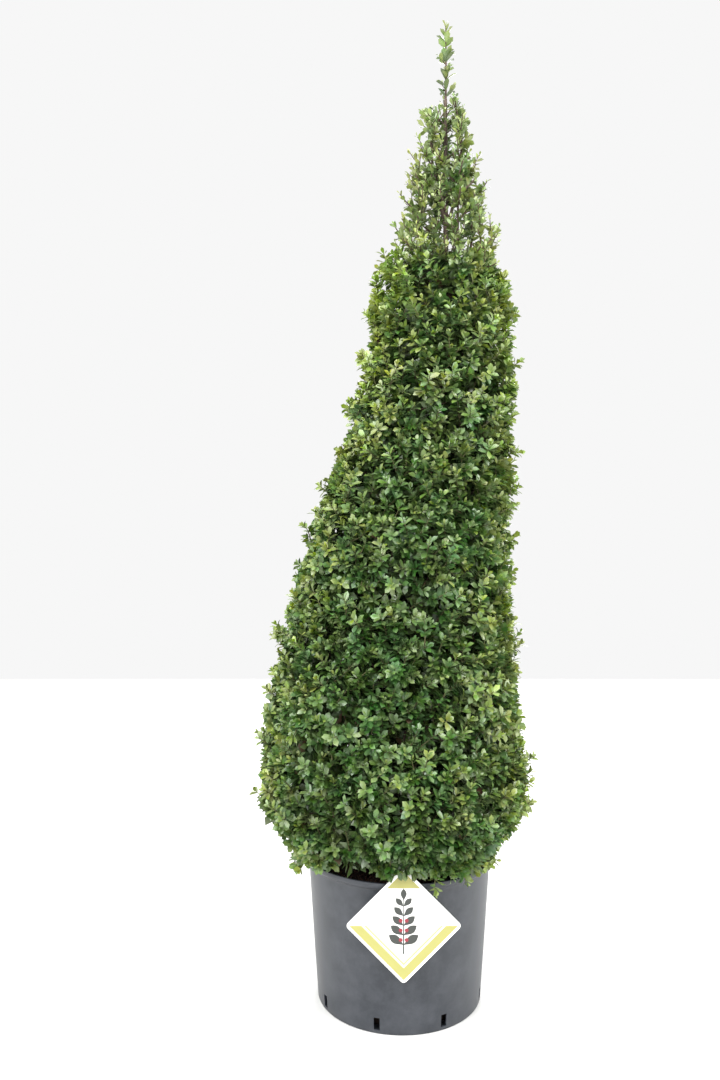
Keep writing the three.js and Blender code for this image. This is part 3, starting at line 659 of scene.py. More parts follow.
def foot_lift(azimuth):
    """How far the skirt's foot is lifted: most at the left, less in front, least elsewhere."""
    left = FOOT_LIFTS["left"] * np.maximum(-np.cos(azimuth), 0) ** 1.5
    front = FOOT_LIFTS["front"] * np.maximum(-np.sin(azimuth), 0)
    return np.maximum(FOOT_LIFTS["least"], np.maximum(left, front))


def crown_point(height, azimuth, depth):
    """A place in the crown, by its height at the surface, its azimuth and its depth under the surface."""
    height, azimuth, depth = np.broadcast_arrays(*(np.asarray(v, float) for v in (height, azimuth, depth)))
    radius = crown_radius(height) - depth
    z = height - SWEEP * smooth_step(height, CROWN_FOOT, TIERS["skirt"][1]) * depth
    z = z + foot_lift(azimuth) * (1 - smooth_step(height, CROWN_FOOT, LIFT_TOP))
    return np.stack([crown_centre(z) + radius * np.cos(azimuth), radius * np.sin(azimuth), z], -1)


def cells_of(bands):
    """The cells of the tiers or rings, side by side round the crown."""
    cells = []
    for name, (low, high, sectors, first) in bands.items():
        for i in range(sectors):
            azimuth = math.radians(first + 360 / sectors * i)
            cells.append({
                "name": f"{name}_{i + 1}", "band": name, "low": low, "high": high, "azimuth": azimuth,
                "half": math.pi / sectors, "turn": (2 * i) % sectors})
    return cells


def twig_to(foot, tip, heading):
    """A twig leaves its foot towards its tip and turns to its heading on the way."""
    foot, tip, heading = (np.asarray(v, float) for v in (foot, tip, heading))
    length = np.linalg.norm(tip - foot, axis=-1, keepdims=True)
    bend = (foot + tip) / 2 * (1 - TURN_OUT) + (tip - heading * length / 2) * TURN_OUT
    return np.stack([foot, bend, tip], -2)


def along_twig(twig, t):
    """Points on one twig or many, at shares of the way from foot to tip."""
    t = np.asarray(t, float)[..., None]
    foot, bend, tip = (twig[..., None, i, :] if t.ndim > 1 else twig[..., i, :] for i in range(3))
    return (1 - t) ** 2 * foot + 2 * t * (1 - t) * bend + t ** 2 * tip


def bough_of(cell):
    """A bough from the trunk, upright at its end under the spray that it carries."""
    height = cell["low"] + BOUGH_END_ABOVE
    end = crown_point(height, cell["azimuth"], crown_radius(height) * (1 - BOUGH_END_SHARE))
    foot_height = end[2] - BOUGH_RISE - BOUGH_STAGGER * cell["turn"]
    return twig_to([trunk_centre(foot_height), 0, foot_height], end, [0, 0, 1])


spray_cells = cells_of(RINGS)
for cell in spray_cells:
    cell["bough"] = bough_of(cell)
    shares = np.linspace(BOUGH_START, 1, BOUGH_RINGS)
    line = along_twig(cell["bough"], shares)
    girth = BOUGH_RADII[0] + (BOUGH_RADII[1] - BOUGH_RADII[0]) * shares
    bough = mesh_piece(f"bough_{cell['name']}_bark", *barked_limb(line, girth, BOUGH_SIDES), bark_finish)
    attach(bough, "root")
    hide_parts(f"bough_{cell['name']}")


# The clipped crown: from the trunk a stem runs out to each part of the crown, and twigs branch from it to the
# clipped surface, finer at each step. Every last shoot is clothed in small leathery leaves, set spirally.

GOLDEN_ANGLE = math.pi * (3 - math.sqrt(5))
GOLDEN_RATIO = (math.sqrt(5) - 1) / 2
GOLDEN_START = 0.35  # height of the first of several tips, as a share of their part
TIP_SCATTER = 0.4  # in height, as a share of the tips' spacing
STEM_DROP = 55
STEM_DROP_SHARE = 0.35  # of the crown's radius, added to that
STEM_LOWEST = POT_HEIGHT + 24
STEM_END_DEPTH = 60
STEM_SHARES = np.linspace(0.15, 1, 8)  # where branches may leave a stem
BRANCH_SHARES = np.array([0.55, 0.7, 0.85, 1.0])  # where shoots may leave a branch
BRANCH_JOINT = 0.6  # how far up a branch the next one may leave it
SHOOT_JOINT = 0.5
# Kinds of twigs: their radii at the foot and at the tip, and the points along each.
LIMB_WOOD = {"stem": ((5, 3), 9), "branches": ((2.3, 1.2), 6), "inner": ((1.1, 0.7), 3)}
SHOOT_WOOD = {"shoots": ((1.1, 0.6), 4)}
TWIG_SIDES = 4
RISE = 0.5  # of a shoot's tip for each millimetre outwards
TOP_RISE = 1.7  # added to it over the heights where the crown turns upright
UPRIGHT_HEIGHTS = (1050, 1300)
HANGING_RISE = -0.7
CLUMP_SPACING = 52  # between branch tips, each the middle of a clump of shoots
CLUMP_DEPTH = 42
CLUMP_SCATTER = 6
CLUMP_LUMP = 7  # how far the clumps bulge and sink
CLUMP_EDGE = (12, 36)  # how far off its middle a clump falls away
SHOOT_SPACING = 17.5
SHOOT_SCATTER = 7
SHOOT_SWAY = 0.28  # how far the headings of shoots stray
VALLEY = 9  # how far the surface falls between clumps
VALLEY_THINNING = 0.18
HOLLOW = 10  # and in the shady hollows
HOLLOW_THINNING = 0.55
HOLLOW_EDGE = (0.9, 1.7)  # of the waves that lay them out
INSET = 5  # of a shoot's tip, so that its leaves end at the clipped outline
PROUD_SHARE = 0.08  # of the shoots, which end near the outline or stand out of it
PROUD_DEPTHS = (-9, 3)
PROUD_LEAN = 0.6  # the share of the crown's lean that they follow
FULLER_SIDE = 4  # how much less inset there is towards +X
LOW_LEAN = 9  # and how the skirt is shifted that way
LOW_LEAN_HEIGHTS = (400, 800)  # over which that fades out
SHOULDER = 18  # how far the crown swells towards -X under the open top
SHOULDER_FROM = (1110, 1190)
SHOULDER_TO = (1250, 1310)
UNDER_INSET = 16  # more inset under the skirt
UNDER_HEIGHTS = (300, 430)  # over which that fades out
THINNING = (1170, 1300)  # heights between which the shoots get fewer, towards the open top
TOP_THINNING = 0.42
INNER_SPACING = 17.5  # between the older shoots in the shade
INNER_DEPTHS = (26, 105)
INNER_CLEAR = 22  # of the crown's axis
INNER_THINNING = 0.75
INNER_SWAY = 0.4
UNDER_SHOOTS = 52
UNDER_REACH = 46  # how far in they close the skirt
UNDER_DEPTH = 4
UNDER_SAG = 0.3
# Sprigs that hang over the rim, or close to it: azimuth in degrees and height of the tip.
HANGING = {184: 226, 196: 236, 205: 240, -57: 250, -74.7: 243, 38: 240, 112: 232,
           -66: 262, -61: 268, -51: 263, -45: 267, -39: 262, -33: 264}
HANG_RADIUS = 184
NOTCH_AZIMUTH = math.radians(-110)  # where the skirt stays clear of the rim and the soil shows
NOTCH_SPREAD = math.radians(15)
NOTCH_HEIGHT = 24
NOTCH_BARE = 0.4  # no shoots close the skirt where the notch is deeper than this
BALANCE = 0.4  # weight of the way back to the stem's foot
CLIMB = 0.8  # rise for each millimetre outwards that a twig likes to have
RIM_ROOM = (22, 3)  # that leaves keep inside and outside the rim
OVER_RIM_ROOM = 4
CARD_ROOM = 5
CARD_REACH = 0.72  # from the card's middle to past its corners, as a share of its side
LEAVES_ON_SHOOT = 17
LEAF_SPACING = 2.2
LEAF_LENGTH = 16.8
INNER_LEAVES = 10
INNER_LEAF_SPACING = 4.0
INNER_LEAF_LENGTH = 25
LEAF_SIZES = (0.8, 1.12)  # shares of the length
LEAF_GAPS = (0.8, 1.2)  # shares of the spacing
LOWEST_LEAF = 0.02  # its place, as a share of the way up its shoot
TANGENT_STEP = 0.05  # share of a shoot over which its direction is read
LEAF_STEADY = (0.2, 0.1, 1.0)  # a direction that no shoot runs along
# How much leaves differ: in turn, in degrees off the shoot, in the way they face and in freshness.
LEAF_SCATTER = {"turn": 0.2, "stand": 9, "face": 0.22, "freshness": 0.1}
TIP_LEAF = 0.52  # the size of the youngest leaf, and how much more each one below has
TIP_LEAF_GAIN = 0.16
LEAF_STANDS = 24  # degrees off the shoot at its tip, and how much more for each leaf below
LEAF_STANDS_GAIN = 7.5
LEAF_WIDEST = 76
LEAF_FACES_UP = 0.35
TIP_FRESHNESS = 0.26
AGEING = 0.06  # from one leaf of a shoot to the next below
LEAF_KINDS = {"old": "#42602d", "grown": "#5b763e", "fresh": "#6b7f3c", "flush": "#7f943e", "dry": "#4c3a28"}
KIND_LIMITS = (0.0, 0.42, 0.88)  # of freshness, from old to flush
# What each thing adds to the freshness of shoots. The extra at the top and the sides is partly young growth
# and partly painted light: lighter leaves where the sky shines through the crown.
VIGOUR = {"everywhere": 0.04, "patches": 0.12, "upwards": 0.5, "fringe": 0.36, "skirt": 0.05, "sides": 0.74,
          "right": -0.01}
VIGOUR_SCATTER = 0.15
FRINGE_HEIGHTS = (262, 335)  # over which the fresh fringe of the skirt fades out
SKIRT_HEIGHTS = (330, 560)
FRESHER_HEIGHTS = (560, 1350)  # over which the crown gets fresher upwards, partly young growth and partly painted light from the sky through the top
# Deeper shoots get older, darker leaf kinds: partly real ageing, partly painted shade in the hollows.
DULL_WITH_DEPTH = 0.008
DRY_SHARE = 0.0008
DRY_SHADE_SHARE = 0.025
# The inner leaves are darker than the outer ones: partly the darker green of real shade leaves, partly
# painted shade in the hollows.
SHADE_COLOUR = "#41572b"
TWIG_COLOURS = ("#30241e", "#5c483a")
SHOOT_COLOURS = ("#3f4228", "#686540")
TWIG_STREAK = 2.5

draw = np.random.default_rng(11)


def grow(nodes, paths, tips, headings, keep_share):
    """The growth rule: each tip joins the tree at the node with the shortest climbing way from the foot.

    Returns the twigs, and the tree's nodes and ways with those of the new twigs added.
    """
    order = np.argsort(np.linalg.norm(tips - nodes[0], axis=1))
    total = len(nodes) + len(tips)
    points = np.empty((total, 3))
    ways = np.empty(total)
    points[:len(nodes)] = nodes
    ways[:len(nodes)] = paths
    twigs = np.empty((len(tips), 3, 3))
    for count, i in enumerate(order, len(nodes)):
        step = tips[i] - points[:count]
        drop = CLIMB * np.hypot(step[:, 0], step[:, 1]) - step[:, 2]
        cost = np.linalg.norm(step, axis=1) + BALANCE * ways[:count] + np.maximum(drop, 0)
        parent = int(np.argmin(cost))
        twigs[i] = twig_to(points[parent], tips[i], headings[i])
        points[count] = along_twig(twigs[i], keep_share)
        ways[count] = ways[parent] + keep_share * np.linalg.norm(tips[i] - points[parent])
    return twigs, points, ways


def shoot_headings(tips):
    """Shoots end pointing outwards and up, more so near the top, and those under the skirt point down."""
    outward = np.stack([tips[:, 0] - crown_centre(tips[:, 2]), tips[:, 1], 0 * tips[:, 2]], 1)
    upright = RISE + TOP_RISE * smooth_step(tips[:, 2], *UPRIGHT_HEIGHTS)
    rise = np.where(tips[:, 2] < CROWN_FOOT, HANGING_RISE, upright)
    return unit(unit(outward) + rise[:, None] * [0, 0, 1])


def tips_over(cell, spacing):
    """Heights and azimuths spread evenly over a cell by the golden ratio, each then moved a little."""
    middle = (cell["low"] + cell["high"]) / 2
    area = 2 * cell["half"] * float(crown_radius(middle)) * (cell["high"] - cell["low"])
    count = int(area / spacing ** 2)
    k = np.arange(count)
    across = (k + draw.uniform(0, 1, count)) / count
    moved = draw.normal(0, TIP_SCATTER / math.sqrt(count), count)
    up = (GOLDEN_START + k * GOLDEN_RATIO + moved) % 1
    heights = cell["low"] + (cell["high"] - cell["low"]) * up
    return heights, cell["azimuth"] + cell["half"] * (2 * across - 1)


def stem_of(cell):
    """The stem of one part of the crown, rising out of the trunk."""
    middle = (cell["low"] + cell["high"]) / 2
    end = crown_point(middle, cell["azimuth"], STEM_END_DEPTH)
    foot_height = max(end[2] - STEM_DROP - STEM_DROP_SHARE * float(crown_radius(middle)), STEM_LOWEST)
    return twig_to([trunk_centre(foot_height), 0, foot_height], end, shoot_headings(end[None])[0])


def clear_of_pot(points):
    """False for points in the pot's wall or against the label."""
    span = np.hypot(points[:, 0], points[:, 1])
    inside, outside = RIM_ROOM
    at_rim = (span < POT_RIM + outside) & (span > POT_RIM - inside)
    in_wall = at_rim & (points[:, 2] < POT_HEIGHT + OVER_RIM_ROOM)
    from_card = np.abs(points[:, 0]) + np.abs(points[:, 2] - CARD_MIDDLE)
    at_card = (from_card < CARD_SIDE * CARD_REACH) & (np.abs(points[:, 1] - CARD_FRONT) < CARD_ROOM)
    return ~(in_wall | at_card)


def leaf_sites(shoots, vigour, count, spacing, length, widest=LEAF_WIDEST, dry_share=0.0):
    """Where leaves spring from shoots: places, ways they grow, upper faces, sizes, kinds.

    A shoot's lowest leaves stand off it by the widest angle, in degrees.
    """
    lengths = np.linalg.norm(shoots[:, 2] - shoots[:, 0], axis=1)
    each = (len(shoots), count)
    k = np.broadcast_to(np.arange(count), each)
    back = k * spacing * draw.uniform(*LEAF_GAPS, each)
    t = np.clip(1 - back / lengths[:, None], LOWEST_LEAF, 1)
    places = along_twig(shoots, t)
    tangents = unit(along_twig(shoots, t + TANGENT_STEP) - places)
    across = unit(np.cross(tangents, LEAF_STEADY))
    over = np.cross(tangents, across)
    turn = draw.uniform(0, 2 * np.pi, (len(shoots), 1)) + k * GOLDEN_ANGLE
    turn = turn + draw.normal(0, LEAF_SCATTER["turn"], each)
    outward = across * np.cos(turn)[..., None] + over * np.sin(turn)[..., None]
    stands = np.clip(LEAF_STANDS + LEAF_STANDS_GAIN * k, LEAF_STANDS, widest)
    spread = np.radians(stands + draw.normal(0, LEAF_SCATTER["stand"], each))
    ways = tangents * np.cos(spread)[..., None] + outward * np.sin(spread)[..., None]
    faces = tangents + [0, 0, LEAF_FACES_UP] + draw.normal(0, LEAF_SCATTER["face"], (*each, 3))
    young = np.clip(TIP_LEAF + TIP_LEAF_GAIN * k, 0, 1)
    sizes = length * young * draw.uniform(*LEAF_SIZES, each)
    freshness = vigour[:, None] + TIP_FRESHNESS - AGEING * k
    freshness = freshness + draw.normal(0, LEAF_SCATTER["freshness"], each)
    kinds = np.digitize(freshness, KIND_LIMITS)
    kinds[draw.uniform(0, 1, kinds.shape) < dry_share] = list(LEAF_KINDS).index("dry")
    return {"place": places.reshape(-1, 3), "way": ways.reshape(-1, 3), "face": faces.reshape(-1, 3),
            "size": sizes.ravel(), "kind": kinds.ravel()}


def kept_sites(sites):
    """Leaves that would cut the pot or the label are left off."""
    tips = sites["place"] + sites["way"] * sites["size"][:, None]
    keeps = clear_of_pot(sites["place"]) & clear_of_pot(tips) & clear_of_pot((sites["place"] + tips) / 2)
    return {name: values[keeps] for name, values in sites.items()}


def merged(parts):
    """Several sets of leaves as one."""
    return {name: np.concatenate([part[name] for part in parts]) for name in parts[0]}


def clump_vigour(points):
    """How freshly a part of the crown has flushed: patchy, more at the top, the sides and the low fringe. The
    extra at the top and the sides is partly painted light.
    """
    x, y, z = points.T
    patches = (np.sin(x / 41 + 2 * np.sin(z / 97)) * np.sin(z / 53 + y / 61)
               + 0.6 * np.sin(y / 37 - z / 71 + x / 83))
    fringe = VIGOUR["fringe"] * (1 - smooth_step(z, *FRINGE_HEIGHTS))
    fringe = fringe + VIGOUR["skirt"] * (1 - smooth_step(z, *SKIRT_HEIGHTS))
    # Fresher, paler leaves upwards: partly young growth, partly painted light from the sky through the open
    # top.
    upwards = VIGOUR["upwards"] * smooth_step(z, *FRESHER_HEIGHTS)
    side = (x - crown_centre(z)) / crown_radius(z)
    # Fresher, lighter leaves on the left and right flanks: partly young growth, partly painted light at the
    # crown's edges.
    flush_and_edge_light = VIGOUR["sides"] * side ** 2 + VIGOUR["right"] * side
    return VIGOUR["everywhere"] + VIGOUR["patches"] * patches + upwards + fringe + flush_and_edge_light


def hollows(points):
    """How far a place lies in one of the shady hollows of the clipped surface, from 0 to 1."""
    x, y, z = points.T
    waves = np.sin(x / 23 + 1.7 * np.sin(z / 53)) + np.sin(z / 25 - y / 37) + np.sin(y / 24 + x / 47 - z / 61)
    return smooth_step(waves, *HOLLOW_EDGE)


def notch(azimuth):
    """How far a place lies in the notch of the skirt, from 0 to 1."""
    off = (azimuth - NOTCH_AZIMUTH + np.pi) % (2 * np.pi) - np.pi
    return np.exp(-(off / NOTCH_SPREAD) ** 2)


def under_tips(cell):
    """Tips of the shoots that close the skirt from below, round the rim, and of those that hang over it."""
    azimuths = cell["azimuth"] + cell["half"] * draw.uniform(-1, 1, UNDER_SHOOTS)
    inward = draw.uniform(0, UNDER_REACH, UNDER_SHOOTS)
    sag = np.outer(UNDER_SAG * inward, [0, 0, 1])
    closing = crown_point(CROWN_FOOT, azimuths, inward + UNDER_DEPTH) - sag
    closing = closing[notch(azimuths) < NOTCH_BARE]
    turns = np.radians(list(HANGING))
    off = np.abs((turns - cell["azimuth"] + np.pi) % (2 * np.pi) - np.pi)
    hanging = np.stack([HANG_RADIUS * np.cos(turns), HANG_RADIUS * np.sin(turns), list(HANGING.values())], 1)
    return np.concatenate([closing, hanging[off < cell["half"]]])


def inner_growth(cell, branch_nodes):
    """Older shoots in the shade under the surface."""
    heights, azimuths = tips_over(cell, INNER_SPACING)
    depths = draw.uniform(*INNER_DEPTHS, len(heights))
    keeps = depths < crown_radius(heights) - INNER_CLEAR
    keeps &= draw.uniform(0, 1, len(heights)) > INNER_THINNING * smooth_step(heights, *THINNING)
    tips = crown_point(heights[keeps], azimuths[keeps], depths[keeps])
    headings = unit(shoot_headings(tips) + draw.normal(0, INNER_SWAY, tips.shape))
    shoots, _, _ = grow(branch_nodes, np.zeros(len(branch_nodes)), tips, headings, SHOOT_JOINT)
    return shoots


def branch_growth(cell):
    """One part of the crown: its stem, its branches, their tips and the places where shoots leave them."""
    stem = stem_of(cell)
    heights, azimuths = tips_over(cell, CLUMP_SPACING)
    lumps = CLUMP_LUMP * np.sin(azimuths * 9 + heights / 45) * np.sin(heights / 31 + 2)
    depths = CLUMP_DEPTH + lumps + draw.normal(0, CLUMP_SCATTER, len(heights))
    tips = crown_point(heights, azimuths, depths)
    stem_ways = STEM_SHARES * np.linalg.norm(stem[2] - stem[0])
    branches, _, _ = grow(along_twig(stem, STEM_SHARES), stem_ways, tips, shoot_headings(tips), BRANCH_JOINT)
    shares = np.broadcast_to(BRANCH_SHARES, (len(branches), len(BRANCH_SHARES)))
    return stem, branches, tips, along_twig(branches, shares).reshape(-1, 3)


def shoot_depths(heights, azimuths, valley, hollow):
    """How deep under the clipped outline each shoot ends. A few stand proud of it."""
    count = len(heights)
    side = np.cos(azimuths)
    lean = LOW_LEAN * (1 - smooth_step(heights, *LOW_LEAN_HEIGHTS)) * side + FULLER_SIDE * np.maximum(side, 0)
    swell = smooth_step(heights, *SHOULDER_FROM) - smooth_step(heights, *SHOULDER_TO)
    lean += SHOULDER * np.maximum(-side, 0) * swell
    scatter = np.abs(draw.normal(0, SHOOT_SCATTER, count))
    depths = INSET - lean + VALLEY * valley + HOLLOW * hollow + scatter
    proud = draw.uniform(0, 1, count) < PROUD_SHARE
    depths = np.where(proud, draw.uniform(*PROUD_DEPTHS, count) - PROUD_LEAN * lean, depths)
    return depths + UNDER_INSET * (1 - smooth_step(heights, *UNDER_HEIGHTS))


def dense_growth(cell):
    """The twigs of one part of the clipped crown: its stem, its branches and its leafy shoots."""
    stem, branches, clump_tips, branch_nodes = branch_growth(cell)
    heights, azimuths = tips_over(cell, SHOOT_SPACING)
    surface = crown_point(heights, azimuths, 0)
    gaps = np.linalg.norm(surface[:, None] - clump_tips[None], axis=2).min(axis=1)
    valley = smooth_step(np.sqrt(np.maximum(gaps ** 2 - CLUMP_DEPTH ** 2, 0)), *CLUMP_EDGE)
    hollow = hollows(surface)
    depths = shoot_depths(heights, azimuths, valley, hollow)
    bare = np.maximum(HOLLOW_THINNING * hollow, VALLEY_THINNING * valley)
    bare = np.maximum(bare, TOP_THINNING * smooth_step(heights, *THINNING))
    keeps = draw.uniform(0, 1, len(heights)) > bare
    keeps &= heights > CROWN_FOOT + NOTCH_HEIGHT * notch(azimuths)
    tips = crown_point(heights, azimuths, depths)[keeps]
    depths = depths[keeps]
    if cell["band"] == "skirt":
        under = under_tips(cell)
        tips = np.concatenate([tips, under])
        depths = np.concatenate([depths, np.full(len(under), float(INSET))])
    headings = unit(shoot_headings(tips) + draw.normal(0, SHOOT_SWAY, tips.shape))
    shoots, _, _ = grow(branch_nodes, np.zeros(len(branch_nodes)), tips, headings, SHOOT_JOINT)
    # Deeper shoots are duller: partly older leaves, partly painted shade.
    vigour = clump_vigour(tips) - DULL_WITH_DEPTH * np.maximum(depths, 0)
    vigour = vigour + draw.normal(0, VIGOUR_SCATTER, len(tips))
    inner = inner_growth(cell, branch_nodes)
    return {"stem": stem[None], "branches": branches, "shoots": shoots, "vigour": vigour, "inner": inner}


dense_cells = cells_of(TIERS)
for cell in dense_cells:
    cell["growth"] = dense_growth(cell)

# A holly leaf: broadest past its middle, folded a little along the midrib, with its tip bent down.
# A leaf in the shade is flatter and has fewer faces. Each row has its place along the leaf of unit length,
# its half width and its lift.

LEAF_ROWS = [(0.0, 0.0, 0.0), (0.38, 0.21, 0.003), (0.74, 0.25, -0.014), (1.0, 0.0, -0.07)]
SHADE_ROWS = [(0.0, 0.0, 0.0), (0.6, 0.28, 0.0), (1.0, 0.0, -0.05)]
LEAF_FOLD = 0.24
RIB_WIDTH = 0.035
LEAF_PATCH = 15  # over which the tone of leaves varies
SPRAY_PATCH = 34  # over which their hue varies


def leaf_blade(name, rows):
    """One leaf of unit length along +Y with its upper face to +Z, and its own map across and along."""
    vertices, flat, starts, faces = [], [], [], []
    for along, half, lift in rows:
        starts.append(len(vertices))
        for side in ((-1, 0, 1) if half else (0,)):
            vertices.append((side * half, along, lift + LEAF_FOLD * half * abs(side)))
            flat.append((0.5 + side * half, along))
    for row, (low, high) in enumerate(zip(starts, starts[1:])):
        for k in (0, 1):
            near = (low + k, low + k + 1) if rows[row][1] else (low,)
            far = (high + k + 1, high + k) if rows[row + 1][1] else (high,)
            faces.append(near + far)
    mesh = bpy.data.meshes.new(name)
    mesh.from_pydata(vertices, [], faces)
    mesh.polygons.foreach_set("use_smooth", [True] * len(mesh.polygons))
    uv = mesh.uv_layers.new(name="leaf_map")
    for corner in mesh.loops:
        uv.data[corner.index].uv = flat[corner.vertex_index]
    return bpy.data.objects.new(name, mesh)


def leaf_finish(name, colour):
    """Leathery holly leaf: waxed and smooth, with a paler midrib.

    Tone and strength of colour vary from leaf to leaf, the brighter leaves paler as a painted sheen, and the
    hue from spray to spray.
    """
    finish, tree, shader = new_finish(name)
    flat = add_node(tree, "ShaderNodeUVMap", {"uv_map": "leaf_map"})
    split = add_node(tree, "ShaderNodeSeparateXYZ", inputs={"Vector": flat.outputs["UV"]})
    off_rib = add_node(tree, "ShaderNodeMath", {"operation": "SUBTRACT"}, {0: split.outputs["X"], 1: 0.5})
    from_rib = add_node(tree, "ShaderNodeMath", {"operation": "ABSOLUTE"}, {0: off_rib.outputs["Value"]})
    rib = add_node(tree, "ShaderNodeMapRange", inputs={
        "Value": from_rib.outputs["Value"], "From Min": 0.0, "From Max": RIB_WIDTH, "To Min": 1.25,
        "To Max": 1.0})
    place = add_node(tree, "ShaderNodeTexCoord")
    patch = add_node(tree, "ShaderNodeTexNoise", inputs={
        "Vector": place.outputs["Object"], "Scale": 1 / (LEAF_PATCH * MM), "Detail": 2})
    shade = add_node(tree, "ShaderNodeMapRange", inputs={
        "Value": patch.outputs["Fac"], "From Min": 0.3, "From Max": 0.7, "To Min": 0.88, "To Max": 1.08})
    value = add_node(tree, "ShaderNodeMath", {"operation": "MULTIPLY"}, {
        0: rib.outputs["Result"], 1: shade.outputs["Result"]})
    spray = add_node(tree, "ShaderNodeTexNoise", inputs={
        "Vector": place.outputs["Object"], "Scale": 1 / (SPRAY_PATCH * MM), "Detail": 1})
    hue = add_node(tree, "ShaderNodeMapRange", inputs={
        "Value": spray.outputs["Fac"], "From Min": 0.3, "From Max": 0.7, "To Min": 0.466, "To Max": 0.526})
    # The brighter leaves are paler: random tone, paired with a painted sheen.
    strength = add_node(tree, "ShaderNodeMapRange", inputs={
        "Value": patch.outputs["Fac"], "From Min": 0.3, "From Max": 0.7, "To Min": 1.19, "To Max": 0.75})
    tone = add_node(tree, "ShaderNodeHueSaturation", inputs={
        "Hue": hue.outputs["Result"], "Saturation": strength.outputs["Result"],
        "Value": value.outputs["Value"], "Color": linear(colour)})
    tree.links.new(tone.outputs["Color"], shader.inputs["Base Color"])
    shader.inputs["Roughness"].default_value = 0.38
    shader.inputs["IOR"].default_value = 1.6
    return finish


# A leaf on each point, set by the way it grows and the side its face is on.
leaf_tree, source = new_tree("leaf_sprays", Leaf="Object", Finish="Material")
way, face, size = [
    add_node(leaf_tree, "GeometryNodeInputNamedAttribute", {"data_type": kind}, {"Name": name})
    for name, kind in (("way", "FLOAT_VECTOR"), ("face", "FLOAT_VECTOR"), ("size", "FLOAT"))]
posture = add_node(leaf_tree, "FunctionNodeAxesToRotation", {"primary_axis": "Y", "secondary_axis": "Z"}, {
    "Primary Axis": way.outputs["Attribute"], "Secondary Axis": face.outputs["Attribute"]})
blade = add_node(leaf_tree, "GeometryNodeObjectInfo", inputs={"Object": source.outputs["Leaf"]})
leaves = add_node(leaf_tree, "GeometryNodeInstanceOnPoints", inputs={
    "Points": source.outputs["Geometry"], "Instance": blade.outputs["Geometry"],
    "Rotation": posture.outputs["Rotation"], "Scale": size.outputs["Attribute"]})
end_tree(leaf_tree, leaves.outputs["Instances"], source.outputs["Finish"])

# A round twig along each line of points, as thick as the points say.
twig_tree, source = new_tree("twigs", Sides="Int", Finish="Material")
lines = add_node(twig_tree, "GeometryNodeMeshToCurve", inputs={"Mesh": source.outputs["Geometry"]})
girth = add_node(twig_tree, "GeometryNodeInputNamedAttribute", {"data_type": "FLOAT"}, {"Name": "girth"})
rod = add_node(twig_tree, "GeometryNodeSetCurveRadius", inputs={
    "Curve": lines.outputs["Curve"], "Radius": girth.outputs["Attribute"]})
section = add_node(twig_tree, "GeometryNodeCurvePrimitiveCircle", inputs={
    "Resolution": source.outputs["Sides"], "Radius": 1.0})
wood = add_node(twig_tree, "GeometryNodeCurveToMesh", inputs={
    "Curve": rod.outputs["Curve"], "Profile Curve": section.outputs["Curve"], "Fill Caps": True})
# Where the node has its own input for the girth, it reads it there.
if "Scale" in wood.inputs:
    twig_tree.links.new(girth.outputs["Attribute"], wood.inputs["Scale"])
end_tree(twig_tree, wood.outputs["Mesh"], source.outputs["Finish"])

sunlit_blade = leaf_blade("leaf_blade", LEAF_ROWS)
shade_blade = leaf_blade("shade_leaf_blade", SHADE_ROWS)
leaf_finishes = {kind: leaf_finish(f"{kind}_holly_leaf", colour) for kind, colour in LEAF_KINDS.items()}
# Inner leaves in a darker colour, partly painted shade.
shade_finish = leaf_finish("shade_holly_leaf", SHADE_COLOUR)
twig_finish = bark("brown_twig_bark", TWIG_COLOURS, TWIG_STREAK)
shoot_finish = bark("green_shoot_bark", SHOOT_COLOURS, TWIG_STREAK)


def points_piece(name, points, edges, **values):
    """A bare mesh of points or lines, in millimetres, that carries named values."""
    mesh = bpy.data.meshes.new(name)
    mesh.from_pydata((points * MM).tolist(), edges, [])
    for key, value in values.items():
        value = np.asarray(value, float)
        layer = mesh.attributes.new(key, "FLOAT_VECTOR" if value.ndim > 1 else "FLOAT", "POINT")
        layer.data.foreach_set("vector" if value.ndim > 1 else "value", value.ravel())
    piece = bpy.data.objects.new(name, mesh)
    bpy.context.scene.collection.objects.link(piece)
    return piece


def strip(piece):
    """Takes the growing values off a finished mesh, and shades it smooth."""
    for key in ("way", "face", "size", "girth"):
        layer = piece.data.attributes.get(key)
        if layer:
            piece.data.attributes.remove(layer)
    piece.data.polygons.foreach_set("use_smooth", [True] * len(piece.data.polygons))


def leaf_piece(name, sites, blade, finish):
    """Leaves of one kind as one piece."""
    piece = points_piece(
        name, sites["place"], [], way=sites["way"], face=sites["face"], size=sites["size"] * MM)
    make_real(piece, leaf_tree, Leaf=blade, Finish=finish)
    strip(piece)
    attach(piece, "root")
    return piece


def add_leaves(part, sites, finishes, nodes):
    """The sunlit leaves of one part, a piece for each kind. With the commonest, the nodes' own parts are
    hidden.
    """
    counts = np.bincount(sites["kind"], minlength=len(LEAF_KINDS))
    for number, kind in enumerate(finishes):
        if not counts[number]:
            continue
        own = {name: values[sites["kind"] == number] for name, values in sites.items()}
        piece = leaf_piece(f"{kind}_leaves_{part}", own, sunlit_blade, finishes[kind])
        if number == int(np.argmax(counts)):
            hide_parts(*nodes)


def wood_of(growths, wood):
    """The twigs of several parts of the plant, in a group for each kind with its radii and points."""
    return [(np.concatenate([growth[kind] for growth in growths]), *shape) for kind, shape in wood.items()]


